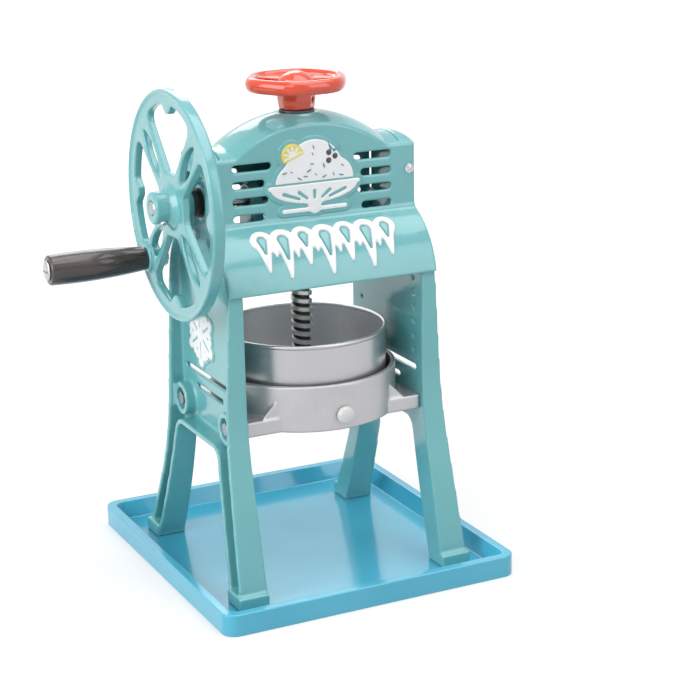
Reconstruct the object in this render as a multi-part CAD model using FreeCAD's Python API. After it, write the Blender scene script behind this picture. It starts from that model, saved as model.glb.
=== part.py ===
import FreeCAD, Part
import math
import os
from FreeCAD import Vector

# Hand-cranked block ice shaver on a drip tray, millimetres.
# +Z is up, the front faces -Y and the crank wheel is on the -X side.  The feed
# spindle is the Z axis, and Z = 0 is the underside of the tray.

X = Vector(1, 0, 0)
Y = Vector(0, 1, 0)
Z = Vector(0, 0, 1)
FAR = 400.0                      # longer than anything, for cutting prisms

# ---------------------------------------------------------------- clearances
running = 0.05                   # radial play of a shaft in its bush
seat_gap = 0.3                   # gap of a moving piece over its seat
fit_gap = 0.1                    # gap round a screw or pin in its own body

# ------------------------------------------------------------------ drip tray
tray_width = 222.0
tray_depth = 239.0
tray_centre_y = 8.5
tray_height = 15.6
tray_corner = 10.0               # outer corner radius in plan
tray_floor = 3.0
tray_wall = 2.4
tray_lip = 6.5                   # width of the flat rim
tray_draft = 3.5                 # how far the inner wall leans in
tray_edge = 1.1                  # rounding of the rim's edges
tray_corner_loss = 0.6           # how fast the corner radius falls going inward
tray_corner_least = 2.0

# ----------------------------------------------------------------- head (top)
head_half_width = 77.9
panel_y = 24.7                   # half depth of the head
cover_wall = 3.0
arch_axis_z = 230.0              # centre of the arched top
arch_radius = 95.0
crown_drop = 5.5                 # fall of the top from its ridge to its edges
crown_edge = 2.5                 # rounding where the panel meets the top
shoulder_z = 305.0               # ridge height over the side frames
shoulder_radius = 8.0            # rounding of the outer top corner
shoulder_solid = 12.0            # depth of the solid shoulder of a side frame
rear_wall_low = 252.0            # lower edge of the wall that closes the back
seat_radius = 15.0               # flat on top, under the handwheel's neck
seat_z = 323.6
seat_boss = 1.5                  # thickening under the flat
spindle_hole_gap = 0.8           # round the spindle where it passes the top

# ------------------------------------------------ flare from head to the legs
flare_centre_y = 2.7             # ahead of the spindle axis
flare_centre_z = 204.0
flare_radius = 54.3
flare_fillet = 6.0
skirt_z = 213.0                  # lower edge of the cover's skirt

# ---------------------------------------------------------------- side frames
frame_inner = 67.0               # spindle axis to a frame's inner face
web = 3.5
rim = 3.5                        # thickness of the raised rim
rim_top_x = 77.9                 # rim height at the skirt and above
rim_foot_x = 88.0                # rim height at the feet
front_foot_y = 81.5
rear_foot_y = 91.5
front_leg_radius = 250.0
front_leg_bend_z = 148.0
rear_leg_radius = 160.0
rear_leg_bend_z = 120.0
front_arch_y = 62.0              # inner corners of the leg arch, at the feet
rear_arch_y = 73.0
arch_top_y = 36.0
arch_top_z = 103.0
arch_corner = 10.0
front_arch_bow = 1.0             # bow of the arch's sides
rear_arch_bow = 3.0
foot_height = 9.5
foot_lip = 1.2
slot_z = 142.0
slot_front_y = 44.0
slot_rear_y = 46.0
slot_width = 4.0
short_slot_z = 131.0
short_slot_front_y = 20.0
short_slot_rear_y = 28.0
short_slot_width = 3.4
bore_row_y = -41.0               # row of small holes behind the front rim
bore_row_z = 154.5
bore_row_pitch = 10.4
bore_row_count = 6
bore_row_radius = 1.6
tie_hole_y = 38.4
tie_hole_z = 175.0

# ---------------------------------------------------------------- vent slots
vent_z = 258.4
vent_pitch = 11.45
vent_height = 4.8
vent_outer_x = 59.6
vent_inner_x = (36.5, 33.5, 36.0, 31.0)   # each slot stops at the emblem

# --------------------------------------------------------------- blade ring
ring_plate_z = 113.5
ring_plate = 10.5
ring_plate_half_depth = 51.0
ring_floor = 4.5
ring_radius = 65.5
ring_wall = 3.5
ring_top_z = 146.0
guide_tab = 5.0                  # how far a guide tab stands over the ring
guide_tab_width = 11.0
guide_tab_angles = (10.0, 170.0)
gusset = 11.0
gusset_rib = 3.0
blade_slot_length = 50.0
blade_slot_front = 6.5           # the slot's edges, ahead of and behind the axis
blade_slot_rear = 2.5
blade_slot_start = 8.0           # from the axis to the slot's inner end
flange_bolt_y = 40.0
flange_bolt_radius = 2.5
flange_bolt_length = 23.2
flange_bolt_head = 5.0           # from its axis to a corner
flange_bolt_head_height = 4.7
bolt_boss_radius = 12.0
bolt_boss_x = 78.6               # face of the bosses that the bolts are sunk in
bolt_recess_radius = 7.7
bolt_recess = 5.0
bolt_seat_x = bolt_boss_x - bolt_recess

# ----------------------------------------------------------------- ice drum
drum_radius = 60.0
drum_wall = 1.6
drum_bead = 1.5                  # radius of the rolled rim
drum_top_z = 173.2
drum_taper = 1.0

# --------------------------------------------------------- blade and its set
blade_width = 24.0
blade_thickness = 2.0
blade_edge_y = -1.0              # cutting edge
blade_lift = 0.3                 # how far the edge stands over the floor
blade_end_gap = 1.0              # between the blade's ends and the slot's ends
clamp_thickness = 3.0
clamp_width = 13.0
blade_screw_radius = 2.0
blade_screw_head = 3.8
blade_screw_head_height = 2.0
blade_screw_depth = 3.5          # into the ring's floor
blade_screw_spread = 30.0
knob_radius = 6.3
knob_length = 5.5
knob_height = 10.8               # its axis over the underside of the ring
knob_stud_radius = 2.4

# -------------------------------------------------------------- crank shaft
shaft_z = 267.6
shaft_radius = 5.0
shaft_inner_end = 11.0           # spindle axis to the shaft's inner end
bush_wall = 2.0
bush_flange = 3.0
bush_flange_thickness = 1.5
crank_boss_radius = 13.0
crank_boss = 3.5                 # how far the boss stands on the web

# ------------------------------------------------------------ bevel gearing
gear_module = 1.8
pinion_teeth = 16
gear_teeth = 20
face_width = 8.0
tooth_backlash = 0.30
pressure_angle = 20.0
tooth_top = 1.15                 # section's top and foot, in modules from the pitch line
tooth_root = 1.5
flank_steps = 4
pinion_hub_length = 9.0
pinion_hub_radius = 9.0
pinion_pin_radius = 1.5
gear_back = 2.6                  # plate behind the gear's teeth
gear_hub_radius = 12.0
gear_hub_tail = 1.5              # hub left below the retaining collar
dedendum_factor = 1.25
overrun = 1.12                   # teeth are lofted past both ends, then trimmed
thrust_washer = 1.2
retainer_height = 6.0
retainer_radius = 17.0

# ------------------------------------------------------------- lower bridge
bridge_plate = 5.0
bridge_plate_z = 235.0
bridge_half_depth = 20.0
bridge_boss_radius = 19.0
bridge_boss_height = 15.0
bridge_flange = 5.0
bridge_flange_height = 26.0
bridge_rib = 4.0
bridge_rib_reach = 22.0          # from the frame toward the middle
bridge_bolt_y = 13.0
bridge_bolt_z = 243.0
bridge_bolt_radius = 2.5
bridge_bolt_head = 4.2           # from its axis to a corner
bridge_bolt_head_height = 3.2
bearing_thickness = 9.0
bearing_foot = 12.5              # half width of its upright where it leaves the plate
bearing_radius = 10.5

# -------------------------------------------------------------- crank wheel
wheel_radius = 78.2
wheel_face_x = 96.2
wheel_width = 8.6
wheel_edge = 0.9                 # chamfers of the rim and its lip
wheel_web = 5.5
wheel_recess = 1.4               # web face behind the rim's lip
wheel_lip = 2.6                  # radial width of the lip
wheel_rim = 9.7                  # radial width of the rim
wheel_hub_radius = 11.0
wheel_hub_face_x = 108.5
wheel_hub_back_x = 81.5
wheel_hub_spread = 3.0           # hub wider at the web than at its back
wheel_hub_cove = (5.0, 4.0)      # cone at the hub's foot: reach and height
wheel_turn = 1.0                 # rest angle of the spokes, from the diagonals
spoke_hub_half_width = 9.0       # spokes widen from the hub to the rim
spoke_rim_half_width = 13.0
heart_inner = 21.5               # radius of a heart's inner end
heart_inner_half_width = 5.5
heart_corner = 6.0
heart_inner_corner = 4.0
cusp_radius = 61.8               # where a heart's cusp reaches in to
cusp_half_width = 2.6
cusp_base_angle = 7.6
cusp_corner = 2.2
leaf_inner = 24.0
leaf_outer = 65.5
leaf_half_width = 6.5
crank_throw = 61.5
handle_boss_radius = 9.5
handle_boss = 2.7
handle_boss_cove = (1.5, 1.6)    # cone at the boss's foot: reach and height
hub_screw_x = 102.0
hub_screw_radius = 3.0
hub_screw_head = 2.2
hub_screw_sink = 0.5
hub_screw_angle = 115.0

# ------------------------------------------------------------------- handle
grip_length = 70.0
grip_near_radius = 8.3
grip_middle_radius = 10.9
grip_end_radius = 10.4
grip_edge = 1.6
handle_bolt_radius = 4.0
handle_head_radius = 7.0
handle_head = 2.4
handle_nut = 5.0
handle_nut_corner = 7.4          # from its axis to a corner
handle_slot_half_width = 0.7
handle_slot_depth = 1.1

# ------------------------------------------------------------------ spindle
screw_radius = 7.5
screw_tail = 3.0                 # thinner end that the plate's nut holds
screw_tail_share = 0.55          # its radius, as a share of the screw's
plate_radius = 52.0
plate_thickness = 4.0
plate_over_ring = 15.0           # underside of the plate over the ring's underside
plate_z = ring_plate_z + plate_over_ring
plate_edge = 1.0
plate_hub_foot = (5.0, 1.4)      # cove at the hub's foot: reach, and its middle's
plate_hub_radius = 13.0
plate_hub_height = 13.0
spike_length = 7.0
spike_radius = 2.6
spike_tip = 0.3
spike_rings = ((20.0, 4), (40.0, 8))     # circle's radius and how many stand on it
spike_start = 15.0               # angle of the first spike of each circle
plate_nut = 4.0
plate_nut_wall = 2.5             # from the spindle to a corner
neck_z = 325.6
neck_radius = 12.2
neck_base_radius = 11.3
neck_foot = 6.0                  # height over which the neck widens
stop_washer = 1.2

# ---------------------------------------------------------------- handwheel
hand_rim_radius = 31.2           # centre line of the rim
hand_rim_wave = 0.8
hand_rim_lobes = 6
hand_rim_points = 24             # points that the rim's curve passes through
hand_rim_half_width = 3.9
hand_rim_half_height = 5.0
hand_rim_z = 343.3
hand_spoke_angles = (237.0, 357.0, 117.0)
hand_spoke_rim_width = 21.0
hand_spoke_bend = 0.62           # share of the spoke's length where it starts to widen
hand_spoke_waist = 1.05
hand_spoke_hub_width = 13.0
hand_spoke_thickness = 5.0
hand_hub_radius = 12.6
hand_dome_z = 351.0
hand_screw_z = 331.5
hand_screw_angle = -48.0
hand_screw_radius = 2.0
hand_screw_sink = 1.2            # its outer end under the neck's face
hand_socket_depth = 1.5
hand_socket_share = 0.5          # socket's radius, as a share of the screw's

# ------------------------------------------------------ small parts, reliefs
cover_screw_x = 73.2
cover_screw_z = 280.6
cover_screw_head = 3.4
cover_screw_head_height = 2.0
cover_screw_radius = 1.9
cover_screw_length = 7.2
relief = 1.6                     # how far painted reliefs stand out
crystal_relief = 1.2
dish_half_width = 33.0
dish_over_flare = 0.8            # from the flare up to the dish's foot
dish_foot_half_width = 23.0
dish_foot_height = 3.0
dish_stem_half_width = 5.0
dish_stem_height = 2.5
dish_depth = 12.5
dish_bulge_place = 0.75          # point on the bowl's side, as shares of its
dish_bulge_drop = 0.62           # half width and of its depth
# Tufts of ice: place and half width as shares of the dish's half width, height.
heap_tufts = ((-0.44, 0.46, 15.0), (0.0, 0.62, 32.0), (0.46, 0.44, 18.0))
drift_half_length = 55.0
drift_top_z = 250.5
drift_dips = (1.5, 0.0, 2.5, 0.8)
icicle_lengths = (23.5, 29.0, 22.0, 29.5, 23.0, 29.0, 22.5)
icicle_taper = 0.2              # tip width as a share of the spacing
icicle_half_width = 0.42         # at its root, as a share of the spacing
drift_lobe = 0.6                 # radius of a lobe, as a share of the spacing
crystal_y = 15.0
crystal_z = 171.0
crystal_arm = 24.0
crystal_arm_half_width = 4.0
crystal_branch = 8.5
crystal_branch_place = 0.56      # along an arm

# ============================================================ basic geometry


def cylinder(radius, length, base, axis=Z):
    return Part.makeCylinder(radius, length, base, axis)


def tube(outer, inner, length, base, axis=Z):
    return cylinder(outer, length, base, axis).cut(cylinder(inner, length, base, axis))


def box(low, high):
    size = Vector(*high) - Vector(*low)
    return Part.makeBox(size.x, size.y, size.z, Vector(*low))


def polygon(points):
    return Part.makePolygon(list(points) + [points[0]])


def prism(wire, vector):
    return Part.Face(wire).extrude(vector)


def dome_arc(radius, low, high):
    """Arc in the XZ plane of a spherical cap, from its edge to its pole."""
    rise = high - low
    ball = (radius ** 2 + rise ** 2) / (2 * rise)
    half = math.asin(radius / ball) / 2
    middle = Vector(ball * math.sin(half), 0, high - ball + ball * math.cos(half))
    return arc(Vector(radius, 0, low), middle, Vector(0, 0, high))


def outline(edges):
    return Part.Wire(Part.__sortEdges__(edges))


def line(a, b):
    return Part.LineSegment(a, b).toShape()


def arc(a, middle, b):
    return Part.Arc(a, middle, b).toShape()


def revolved(wire, base, axis):
    return Part.Face(wire).revolve(base, axis, 360)


def join(shapes):
    first = shapes[0]
    if len(shapes) == 1:
        return first
    return first.multiFuse(shapes[1:]).removeSplitter()


def mirror_x(shape):
    return shape.mirror(Vector(0, 0, 0), X)


def turned(shape, angle, centre=Vector(0, 0, 0), axis=Z):
    copy = shape.copy()
    copy.rotate(centre, axis, angle)
    return copy


def moved(shape, vector):
    copy = shape.copy()
    copy.translate(vector)
    return copy


def polar(radius, angle):
    return (radius * math.cos(math.radians(angle)), radius * math.sin(math.radians(angle)))


def hexagon(across_corners, height, base, axis=Z):
    """Hexagonal prism standing on base along axis."""
    corners = [Vector(*polar(across_corners, 60 * k), 0) for k in range(6)]
    solid = prism(polygon(corners), Z * height)
    solid.Placement = FreeCAD.Placement(base, FreeCAD.Rotation(Z, axis))
    return solid


def rounded_rectangle(half_x, half_y, radius, centre, z):
    """Wire of a rectangle with round corners in the plane at height z."""
    cx, cy = centre
    edges = []
    corners = ((1, 1, 0), (-1, 1, 90), (-1, -1, 180), (1, -1, 270))
    ends = []
    for sx, sy, start in corners:
        middle = Vector(cx + sx * (half_x - radius), cy + sy * (half_y - radius), z)
        points = [middle + Vector(*polar(radius, start + step), 0) for step in (0, 45, 90)]
        edges.append(arc(*points))
        ends.append((points[0], points[2]))
    for k in range(4):
        edges.append(line(ends[k][1], ends[(k + 1) % 4][0]))
    return outline(edges)


# ================================================================= drip tray


def make_tray():
    centre = (0.0, tray_centre_y)
    half_x = tray_width / 2
    half_y = tray_depth / 2

    def ring_wire(inset, z):
        radius = max(tray_corner - inset * tray_corner_loss, tray_corner_least)
        return rounded_rectangle(half_x - inset, half_y - inset, radius, centre, z)

    outer = prism(ring_wire(0.0, 0.0), Z * tray_height)
    top_edges = [e for e in outer.Edges if e.BoundBox.ZMin > tray_height - 0.01]
    outer = outer.makeFillet(tray_edge, top_edges)
    hollow = Part.makeLoft([ring_wire(tray_lip + tray_draft, tray_floor),
                            ring_wire(tray_lip, tray_height + 0.01)], True, True)
    # The rim is hollow underneath, between the outer skirt and the inner wall.
    channel_height = tray_height - tray_wall
    skirt_side = prism(ring_wire(tray_wall, 0.0), Z * channel_height)
    wall_side = Part.makeLoft([ring_wire(tray_lip + tray_draft - tray_wall, 0.0),
                               ring_wire(tray_lip - tray_wall, channel_height)], True, True)
    return outer.cut(hollow).cut(skirt_side.cut(wall_side))


# ============================================== head, cover and side profiles


def crown_wire(inset, ridge, base):
    """Front-to-back section of the head in the YZ plane, ridge at y = 0."""
    half = panel_y - inset
    edge = ridge - crown_drop
    corner = max(crown_edge - inset, 0.4)
    top = Vector(0, 0, ridge)
    shoulders = []
    for side in (-1, 1):
        high = Vector(0, side * (half - corner), edge)
        low = Vector(0, side * half, edge - corner)
        middle = Vector(0, side * (half - corner * 0.3), edge - corner * 0.3)
        shoulders.append((low, middle, high))
    front, rear = shoulders
    edges = [arc(*front), arc(front[2], top, rear[2]), arc(rear[2], rear[1], rear[0])]
    feet = (Vector(0, half, base), Vector(0, -half, base))
    edges += [line(rear[0], feet[0]), line(feet[0], feet[1]), line(feet[1], front[0])]
    return outline(edges)


def head_envelope(inset):
    """Outer form of the head, every face set in by inset."""
    half_width = head_half_width - inset
    axis = Vector(0, 0, arch_axis_z)
    disc = revolved(crown_wire(inset, arch_axis_z + arch_radius - inset, arch_axis_z), axis, Y)
    disc = disc.common(box((-half_width, -FAR, arch_axis_z), (half_width, FAR, FAR)))
    shoulders = prism(crown_wire(inset, shoulder_z - inset, skirt_z), X * (2 * half_width))
    shoulders.translate(X * -half_width)
    radius = shoulder_radius - inset
    top = shoulder_z - inset
    low = skirt_z - 1.0
    corners = []
    for side in (-1, 1):
        outer = Vector(side * half_width, -FAR, top - radius)
        inner = Vector(side * (half_width - radius), -FAR, top)
        bend = radius * (1 - math.sqrt(0.5))
        middle = Vector(side * (half_width - bend), -FAR, top - bend)
        corners.append((outer, middle, inner))
    left, right = corners
    feet = (Vector(half_width, -FAR, low), Vector(-half_width, -FAR, low))
    frame = outline([arc(*left), line(left[2], right[2]), arc(*right),
                     line(right[0], feet[0]), line(feet[0], feet[1]), line(feet[1], left[0])])
    return shoulders.common(prism(frame, Y * (2 * FAR))).fuse(disc)


def flare_edges(inset, low_z, high_z, side):
    """Ogee from the head's panel down to the legs, side -1 front or 1 rear."""
    radius = flare_radius - inset
    fillet = flare_fillet + inset
    reach = flare_radius + flare_fillet
    centre = Vector(0, side * flare_centre_y, flare_centre_z)
    across = panel_y + flare_fillet - flare_centre_y
    up = math.sqrt(reach ** 2 - across ** 2)
    fillet_centre = Vector(0, side * (panel_y + flare_fillet), flare_centre_z + up)
    meet = centre + (fillet_centre - centre) * (radius / reach)
    panel_foot = Vector(0, side * (panel_y - inset), fillet_centre.z)
    bend = (meet - fillet_centre) + (panel_foot - fillet_centre)
    fillet_middle = fillet_centre + bend * (fillet / bend.Length)
    drop = low_z - flare_centre_z
    lowest = centre + Vector(0, side * math.sqrt(radius ** 2 - drop ** 2), drop)
    bow = (meet - centre) + (lowest - centre)
    flare_middle = centre + bow * (radius / bow.Length)
    top = Vector(0, side * (panel_y - inset), high_z)
    edges = [line(top, panel_foot), arc(panel_foot, fillet_middle, meet),
             arc(meet, flare_middle, lowest)]
    return edges, top, lowest


def flare_top_z():
    """Height where the flare runs out into the upright panel."""
    reach = flare_radius + flare_fillet
    across = panel_y + flare_fillet - flare_centre_y
    return flare_centre_z + math.sqrt(reach ** 2 - across ** 2)


def leg_plane_y():
    return flare_centre_y + flare_radius - cover_wall


def leg_edges(foot_y, radius, bend_z, high, side):
    """Straight foot, then an arc up to the upright part of a leg."""
    low_z = tray_floor
    foot = Vector(0, side * foot_y, low_z)
    centre = Vector(0, side * (leg_plane_y() + radius), bend_z)
    to_foot = foot - centre
    reach = to_foot.Length
    angle = math.atan2(to_foot.z, side * to_foot.y)
    half = math.acos(radius / reach)
    meet_angle = angle - half
    meet = centre + Vector(0, side * radius * math.cos(meet_angle), radius * math.sin(meet_angle))
    upright = Vector(0, side * leg_plane_y(), bend_z)
    bow = (meet - centre) + (upright - centre)
    middle = centre + bow * (radius / bow.Length)
    return [line(foot, meet), arc(meet, middle, upright), line(upright, high)], foot


def arch_side(foot_y, bow, side):
    """Side of the leg arch, from the foot up to the arch's top corner."""
    foot = Vector(0, side * foot_y, tray_floor)
    top = Vector(0, side * arch_top_y, arch_top_z)
    chord = top - foot
    normal = Vector(0, -side * chord.z, side * chord.y).normalize()
    middle = foot + chord * 0.5 + normal * bow
    return foot, middle, top


def frame_wire():
    """Whole outline of a side frame in the YZ plane."""
    high_z = shoulder_z + 5.0
    front_flare, front_top = flare_edges(cover_wall, skirt_z, high_z, -1)[:2]
    rear_flare, rear_top = flare_edges(cover_wall, skirt_z, high_z, 1)[:2]
    front_upright = Vector(0, -leg_plane_y(), flare_centre_z)
    rear_upright = Vector(0, leg_plane_y(), flare_centre_z)
    front_join = flare_edges(cover_wall, flare_centre_z, high_z, -1)[0][2]
    rear_join = flare_edges(cover_wall, flare_centre_z, high_z, 1)[0][2]
    front_leg, front_foot = leg_edges(front_foot_y, front_leg_radius, front_leg_bend_z,
                                      front_upright, -1)
    rear_leg, rear_foot = leg_edges(rear_foot_y, rear_leg_radius, rear_leg_bend_z,
                                    rear_upright, 1)
    front_arch = arch_side(front_arch_y, front_arch_bow, -1)
    rear_arch = arch_side(rear_arch_y, rear_arch_bow, 1)
    edges = front_flare[:2] + [front_join] + rear_flare[:2] + [rear_join]
    edges += front_leg + rear_leg
    edges += [arc(*front_arch), arc(*rear_arch), line(front_arch[2], rear_arch[2])]
    edges += [line(front_foot, front_arch[0]), line(rear_foot, rear_arch[0])]
    edges += [line(front_top, rear_top)]
    return outline(edges)


def rim_limit():
    """Solid whose outer face is where the side frame's rim ends."""
    corners = [Vector(0, -FAR, -FAR), Vector(rim_foot_x, -FAR, -FAR),
               Vector(rim_foot_x, -FAR, tray_floor), Vector(rim_top_x, -FAR, skirt_z),
               Vector(rim_top_x, -FAR, FAR), Vector(0, -FAR, FAR)]
    return prism(polygon(corners), Y * (2 * FAR))


def foot_block(y_low, y_high):
    x_low = frame_inner
    lip = foot_lip
    high = tray_floor + foot_height
    block = box((x_low, y_low - lip, tray_floor), (rim_foot_x + lip, y_high + lip, high))
    edges = [e for e in block.Edges if abs(e.BoundBox.ZLength) < 0.01 and e.BoundBox.ZMin > high - 0.01
             and e.BoundBox.XMax > x_low + 0.01]
    return block.makeFillet(lip * 0.9, edges)


def make_side_frame():
    """Right-hand side frame; the left one is its mirror image."""
    wire = frame_wire()
    wire.translate(X * frame_inner)
    depth = rim_foot_x + foot_lip - frame_inner
    block = prism(wire, X * depth)
    arch_edges = [e for e in block.Edges if e.BoundBox.XLength > depth - 0.1
                  and abs(e.BoundBox.ZMin - arch_top_z) < 0.01 and e.BoundBox.ZLength < 0.01]
    block = block.makeFillet(arch_corner, arch_edges)
    plate = block.common(box((frame_inner, -FAR, -FAR), (frame_inner + web, FAR, FAR)))
    section = block.slice(X, frame_inner + web)[0]
    inner_wire = section.makeOffset2D(-rim)
    pocket = prism(inner_wire, X * depth)
    rims = block.cut(pocket).common(rim_limit())
    shoulder = block.common(box((0, -FAR, shoulder_z - crown_drop - shoulder_solid),
                                (FAR, FAR, FAR)))
    pieces = [plate, rims, shoulder]
    for side in (-1, 1):
        centre = Vector(frame_inner, side * flange_bolt_y, ring_plate_z + ring_plate / 2)
        pieces.append(cylinder(bolt_boss_radius, bolt_boss_x - frame_inner, centre, X))
    pieces.append(cylinder(crank_boss_radius, web + crank_boss, Vector(frame_inner, 0, shaft_z), X))
    pieces.append(foot_block(-front_foot_y, -front_arch_y))
    pieces.append(foot_block(rear_arch_y, rear_foot_y))
    frame = join(pieces)
    above = box((0, -FAR, flare_top_z()), (FAR, FAR, FAR))
    frame = frame.cut(above.cut(head_envelope(0.0)))
    return frame.cut(join(frame_cuts()))


def frame_cuts():
    """Slots, bolt recesses and holes that both side frames share."""
    start = frame_inner - 1.0
    through = web + 2.0
    cuts = [long_hole(slot_z, slot_width, -slot_front_y, slot_rear_y, start, through),
            long_hole(short_slot_z, short_slot_width, -short_slot_front_y,
                      short_slot_rear_y, start, through)]
    for k in range(bore_row_count):
        base = Vector(start, bore_row_y, bore_row_z + k * bore_row_pitch)
        cuts.append(cylinder(bore_row_radius, through, base, X))
    cuts.append(cylinder(bore_row_radius, through, Vector(start, tie_hole_y, tie_hole_z), X))
    for side in (-1, 1):
        y = side * flange_bolt_y
        z = ring_plate_z + ring_plate / 2
        radius = flange_bolt_radius + fit_gap
        cuts.append(cylinder(radius, FAR, Vector(start, y, z), X))
        cuts.append(cylinder(bolt_recess_radius, FAR, Vector(bolt_seat_x, y, z), X))
        base = Vector(start, side * bridge_bolt_y, bridge_bolt_z)
        cuts.append(cylinder(bridge_bolt_radius + fit_gap, web + crank_boss + 2.0, base, X))
    cuts.append(cover_screw_hole(1))
    return cuts


def long_hole(z, width, y_low, y_high, x, depth):
    radius = width / 2
    low = Vector(x, y_low + radius, z)
    high = Vector(x, y_high - radius, z)
    middle = box((x, y_low + radius, z - radius), (x + depth, y_high - radius, z + radius))
    return join([cylinder(radius, depth, low, X), cylinder(radius, depth, high, X), middle])


def cover_screw_hole(side):
    base = Vector(side * cover_screw_x, -panel_y - 1.0, cover_screw_z)
    return cylinder(cover_screw_radius + fit_gap, cover_screw_length + 1.0, base, Y)


# =============================================================== front cover


def skirt_shell(extra=0.0):
    """Flared lower part of the cover, its outer face moved out by extra."""
    high = flare_centre_z + flare_radius
    outer, outer_top, outer_low = flare_edges(-extra, skirt_z, high, -1)
    inner, inner_top, inner_low = flare_edges(cover_wall, skirt_z, high, -1)
    wire = outline(outer + inner + [line(outer_top, inner_top), line(outer_low, inner_low)])
    shell = prism(wire, X * (2 * head_half_width))
    shell.translate(X * -head_half_width)
    return shell


def make_cover():
    """Front panel, arched roof, rear wall and flared skirt in one casting."""
    whole = head_envelope(0.0)
    shell = whole.cut(head_envelope(cover_wall))
    panel_back = -(panel_y - cover_wall)
    panel_low = flare_top_z()
    panel = whole.common(box((-FAR, -FAR, panel_low), (FAR, panel_back, FAR)))
    roof_half = frame_inner - fit_gap
    roof = shell.common(box((-roof_half, panel_back, rear_wall_low), (roof_half, FAR, FAR)))
    cover = join([panel, roof, skirt_shell()])
    slots = [vent(side, row) for side in (-1, 1) for row in range(len(vent_inner_x))]
    cuts = slots + [slot.mirror(Vector(0, 0, 0), Y) for slot in slots]
    hole = screw_radius + spindle_hole_gap
    cuts.append(cylinder(hole, FAR, Vector(0, 0, arch_axis_z), Z))
    cuts.append(cylinder(seat_radius, FAR, Vector(0, 0, seat_z), Z))
    cuts += [cover_screw_hole(-1), cover_screw_hole(1)]
    seat_depth = cover_wall + seat_boss
    seat = tube(seat_radius, hole, seat_depth, Vector(0, 0, seat_z - seat_depth))
    return join([cover.cut(join(cuts)), seat])


def vent(side, row):
    """One rounded vent slot through the front panel, the rear's mirror image."""
    radius = vent_height / 2
    z = vent_z + row * vent_pitch
    inner = side * (vent_inner_x[row] + radius)
    outer = side * (vent_outer_x - radius)
    start = -panel_y - 1.0
    depth = cover_wall + 2.0
    low = min(inner, outer)
    high = max(inner, outer)
    middle = box((low, start, z - radius), (high, start + depth, z + radius))
    rounds = [cylinder(radius, depth, Vector(x, start, z), Y) for x in (inner, outer)]
    return join(rounds + [middle])


def make_cover_screws():
    screws = []
    for side in (-1, 1):
        face = Vector(side * cover_screw_x, -panel_y, cover_screw_z)
        shank = cylinder(cover_screw_radius, cover_screw_length, face, Y)
        head = pan_head(cover_screw_head, cover_screw_head_height, face, -Y)
        screws.append(join([head, shank]))
    return Part.Compound(screws)


def pan_head(radius, height, base, axis):
    """Low domed screw head standing on base along axis."""
    edge = height * 0.45
    wire = outline([line(Vector(0, 0, 0), Vector(radius, 0, 0)),
                    line(Vector(radius, 0, 0), Vector(radius, 0, edge)),
                    dome_arc(radius, edge, height),
                    line(Vector(0, 0, height), Vector(0, 0, 0))])
    head = revolved(wire, Vector(0, 0, 0), Z)
    head.Placement = FreeCAD.Placement(base, FreeCAD.Rotation(Z, axis))
    return head


# =================================================================== reliefs


def make_emblem():
    """Raised footed dish with a heap of shaved ice, on the front panel."""
    foot = flare_top_z() + dish_over_flare
    stem_low = foot + dish_foot_height
    bowl_low = stem_low + dish_stem_height
    rim_z = bowl_low + dish_depth
    half = dish_half_width
    stem = dish_stem_half_width
    y = -panel_y - relief

    def at(x, z):
        return Vector(x, y, z)

    def side(sign):
        bulge = at(sign * half * dish_bulge_place, rim_z - dish_depth * dish_bulge_drop)
        return [arc(at(sign * half, rim_z), bulge, at(sign * stem, bowl_low)),
                line(at(sign * stem, bowl_low), at(sign * stem, stem_low)),
                line(at(sign * stem, stem_low), at(sign * dish_foot_half_width, foot))]

    ends = [line(at(-half, rim_z), at(half, rim_z)),
            line(at(-dish_foot_half_width, foot), at(dish_foot_half_width, foot))]
    dish = prism(outline(side(-1) + side(1) + ends), Y * relief)
    tufts = []
    for centre, width, height in heap_tufts:
        low = at(half * (centre - width), rim_z)
        high = at(half * (centre + width), rim_z)
        top = at(half * centre, rim_z + height)
        tufts.append(prism(outline([arc(low, top, high), line(high, low)]), Y * relief))
    return join([dish] + tufts)


def make_drift():
    """Raised snow drift with icicles that follows the cover's skirt."""
    layer = skirt_shell(relief).cut(skirt_shell(0.0))
    count = len(icicle_lengths)
    step = 2 * drift_half_length / count
    shapes = []
    for k, length in enumerate(icicle_lengths):
        x = -drift_half_length + (k + 0.5) * step
        high = drift_top_z - drift_dips[k % len(drift_dips)]
        lobe = step * drift_lobe
        root_z = high - lobe
        crown = cylinder(lobe, FAR, Vector(x, -FAR, root_z), Y)
        half = step * icicle_half_width
        tip_radius = step * icicle_taper / 2
        low = high - length
        sides = [Vector(x - half, -FAR, root_z), Vector(x + half, -FAR, root_z),
                 Vector(x + tip_radius, -FAR, low + tip_radius),
                 Vector(x - tip_radius, -FAR, low + tip_radius)]
        shapes += [crown, prism(polygon(sides), Y * FAR),
                   cylinder(tip_radius, FAR, Vector(x, -FAR, low + tip_radius), Y)]
    return layer.common(join(shapes))


def make_crystal():
    """Raised six-armed crystal on the outside of the left frame's web."""
    x = -(frame_inner + web)
    centre = Vector(x, crystal_y, crystal_z)
    thickness = crystal_relief
    half = crystal_arm_half_width
    arm = join([cylinder(half, thickness, Vector(0, 0, 0)),
                cylinder(half, thickness, Vector(crystal_arm - half, 0, 0)),
                box((0, -half, 0), (crystal_arm - half, half, thickness))])
    branches = []
    for angle in (60.0, -60.0):
        branch = join([cylinder(half * 0.8, thickness, Vector(crystal_branch, 0, 0)),
                       box((0, -half * 0.8, 0), (crystal_branch, half * 0.8, thickness))])
        branches.append(moved(turned(branch, angle), X * (crystal_arm * crystal_branch_place)))
    arm = join([arm] + branches)
    crystal = join([turned(arm, 60.0 * k) for k in range(6)])
    crystal.Placement = FreeCAD.Placement(centre, FreeCAD.Rotation(Z, -X))
    return crystal


# =============================================================== ice drum


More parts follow.
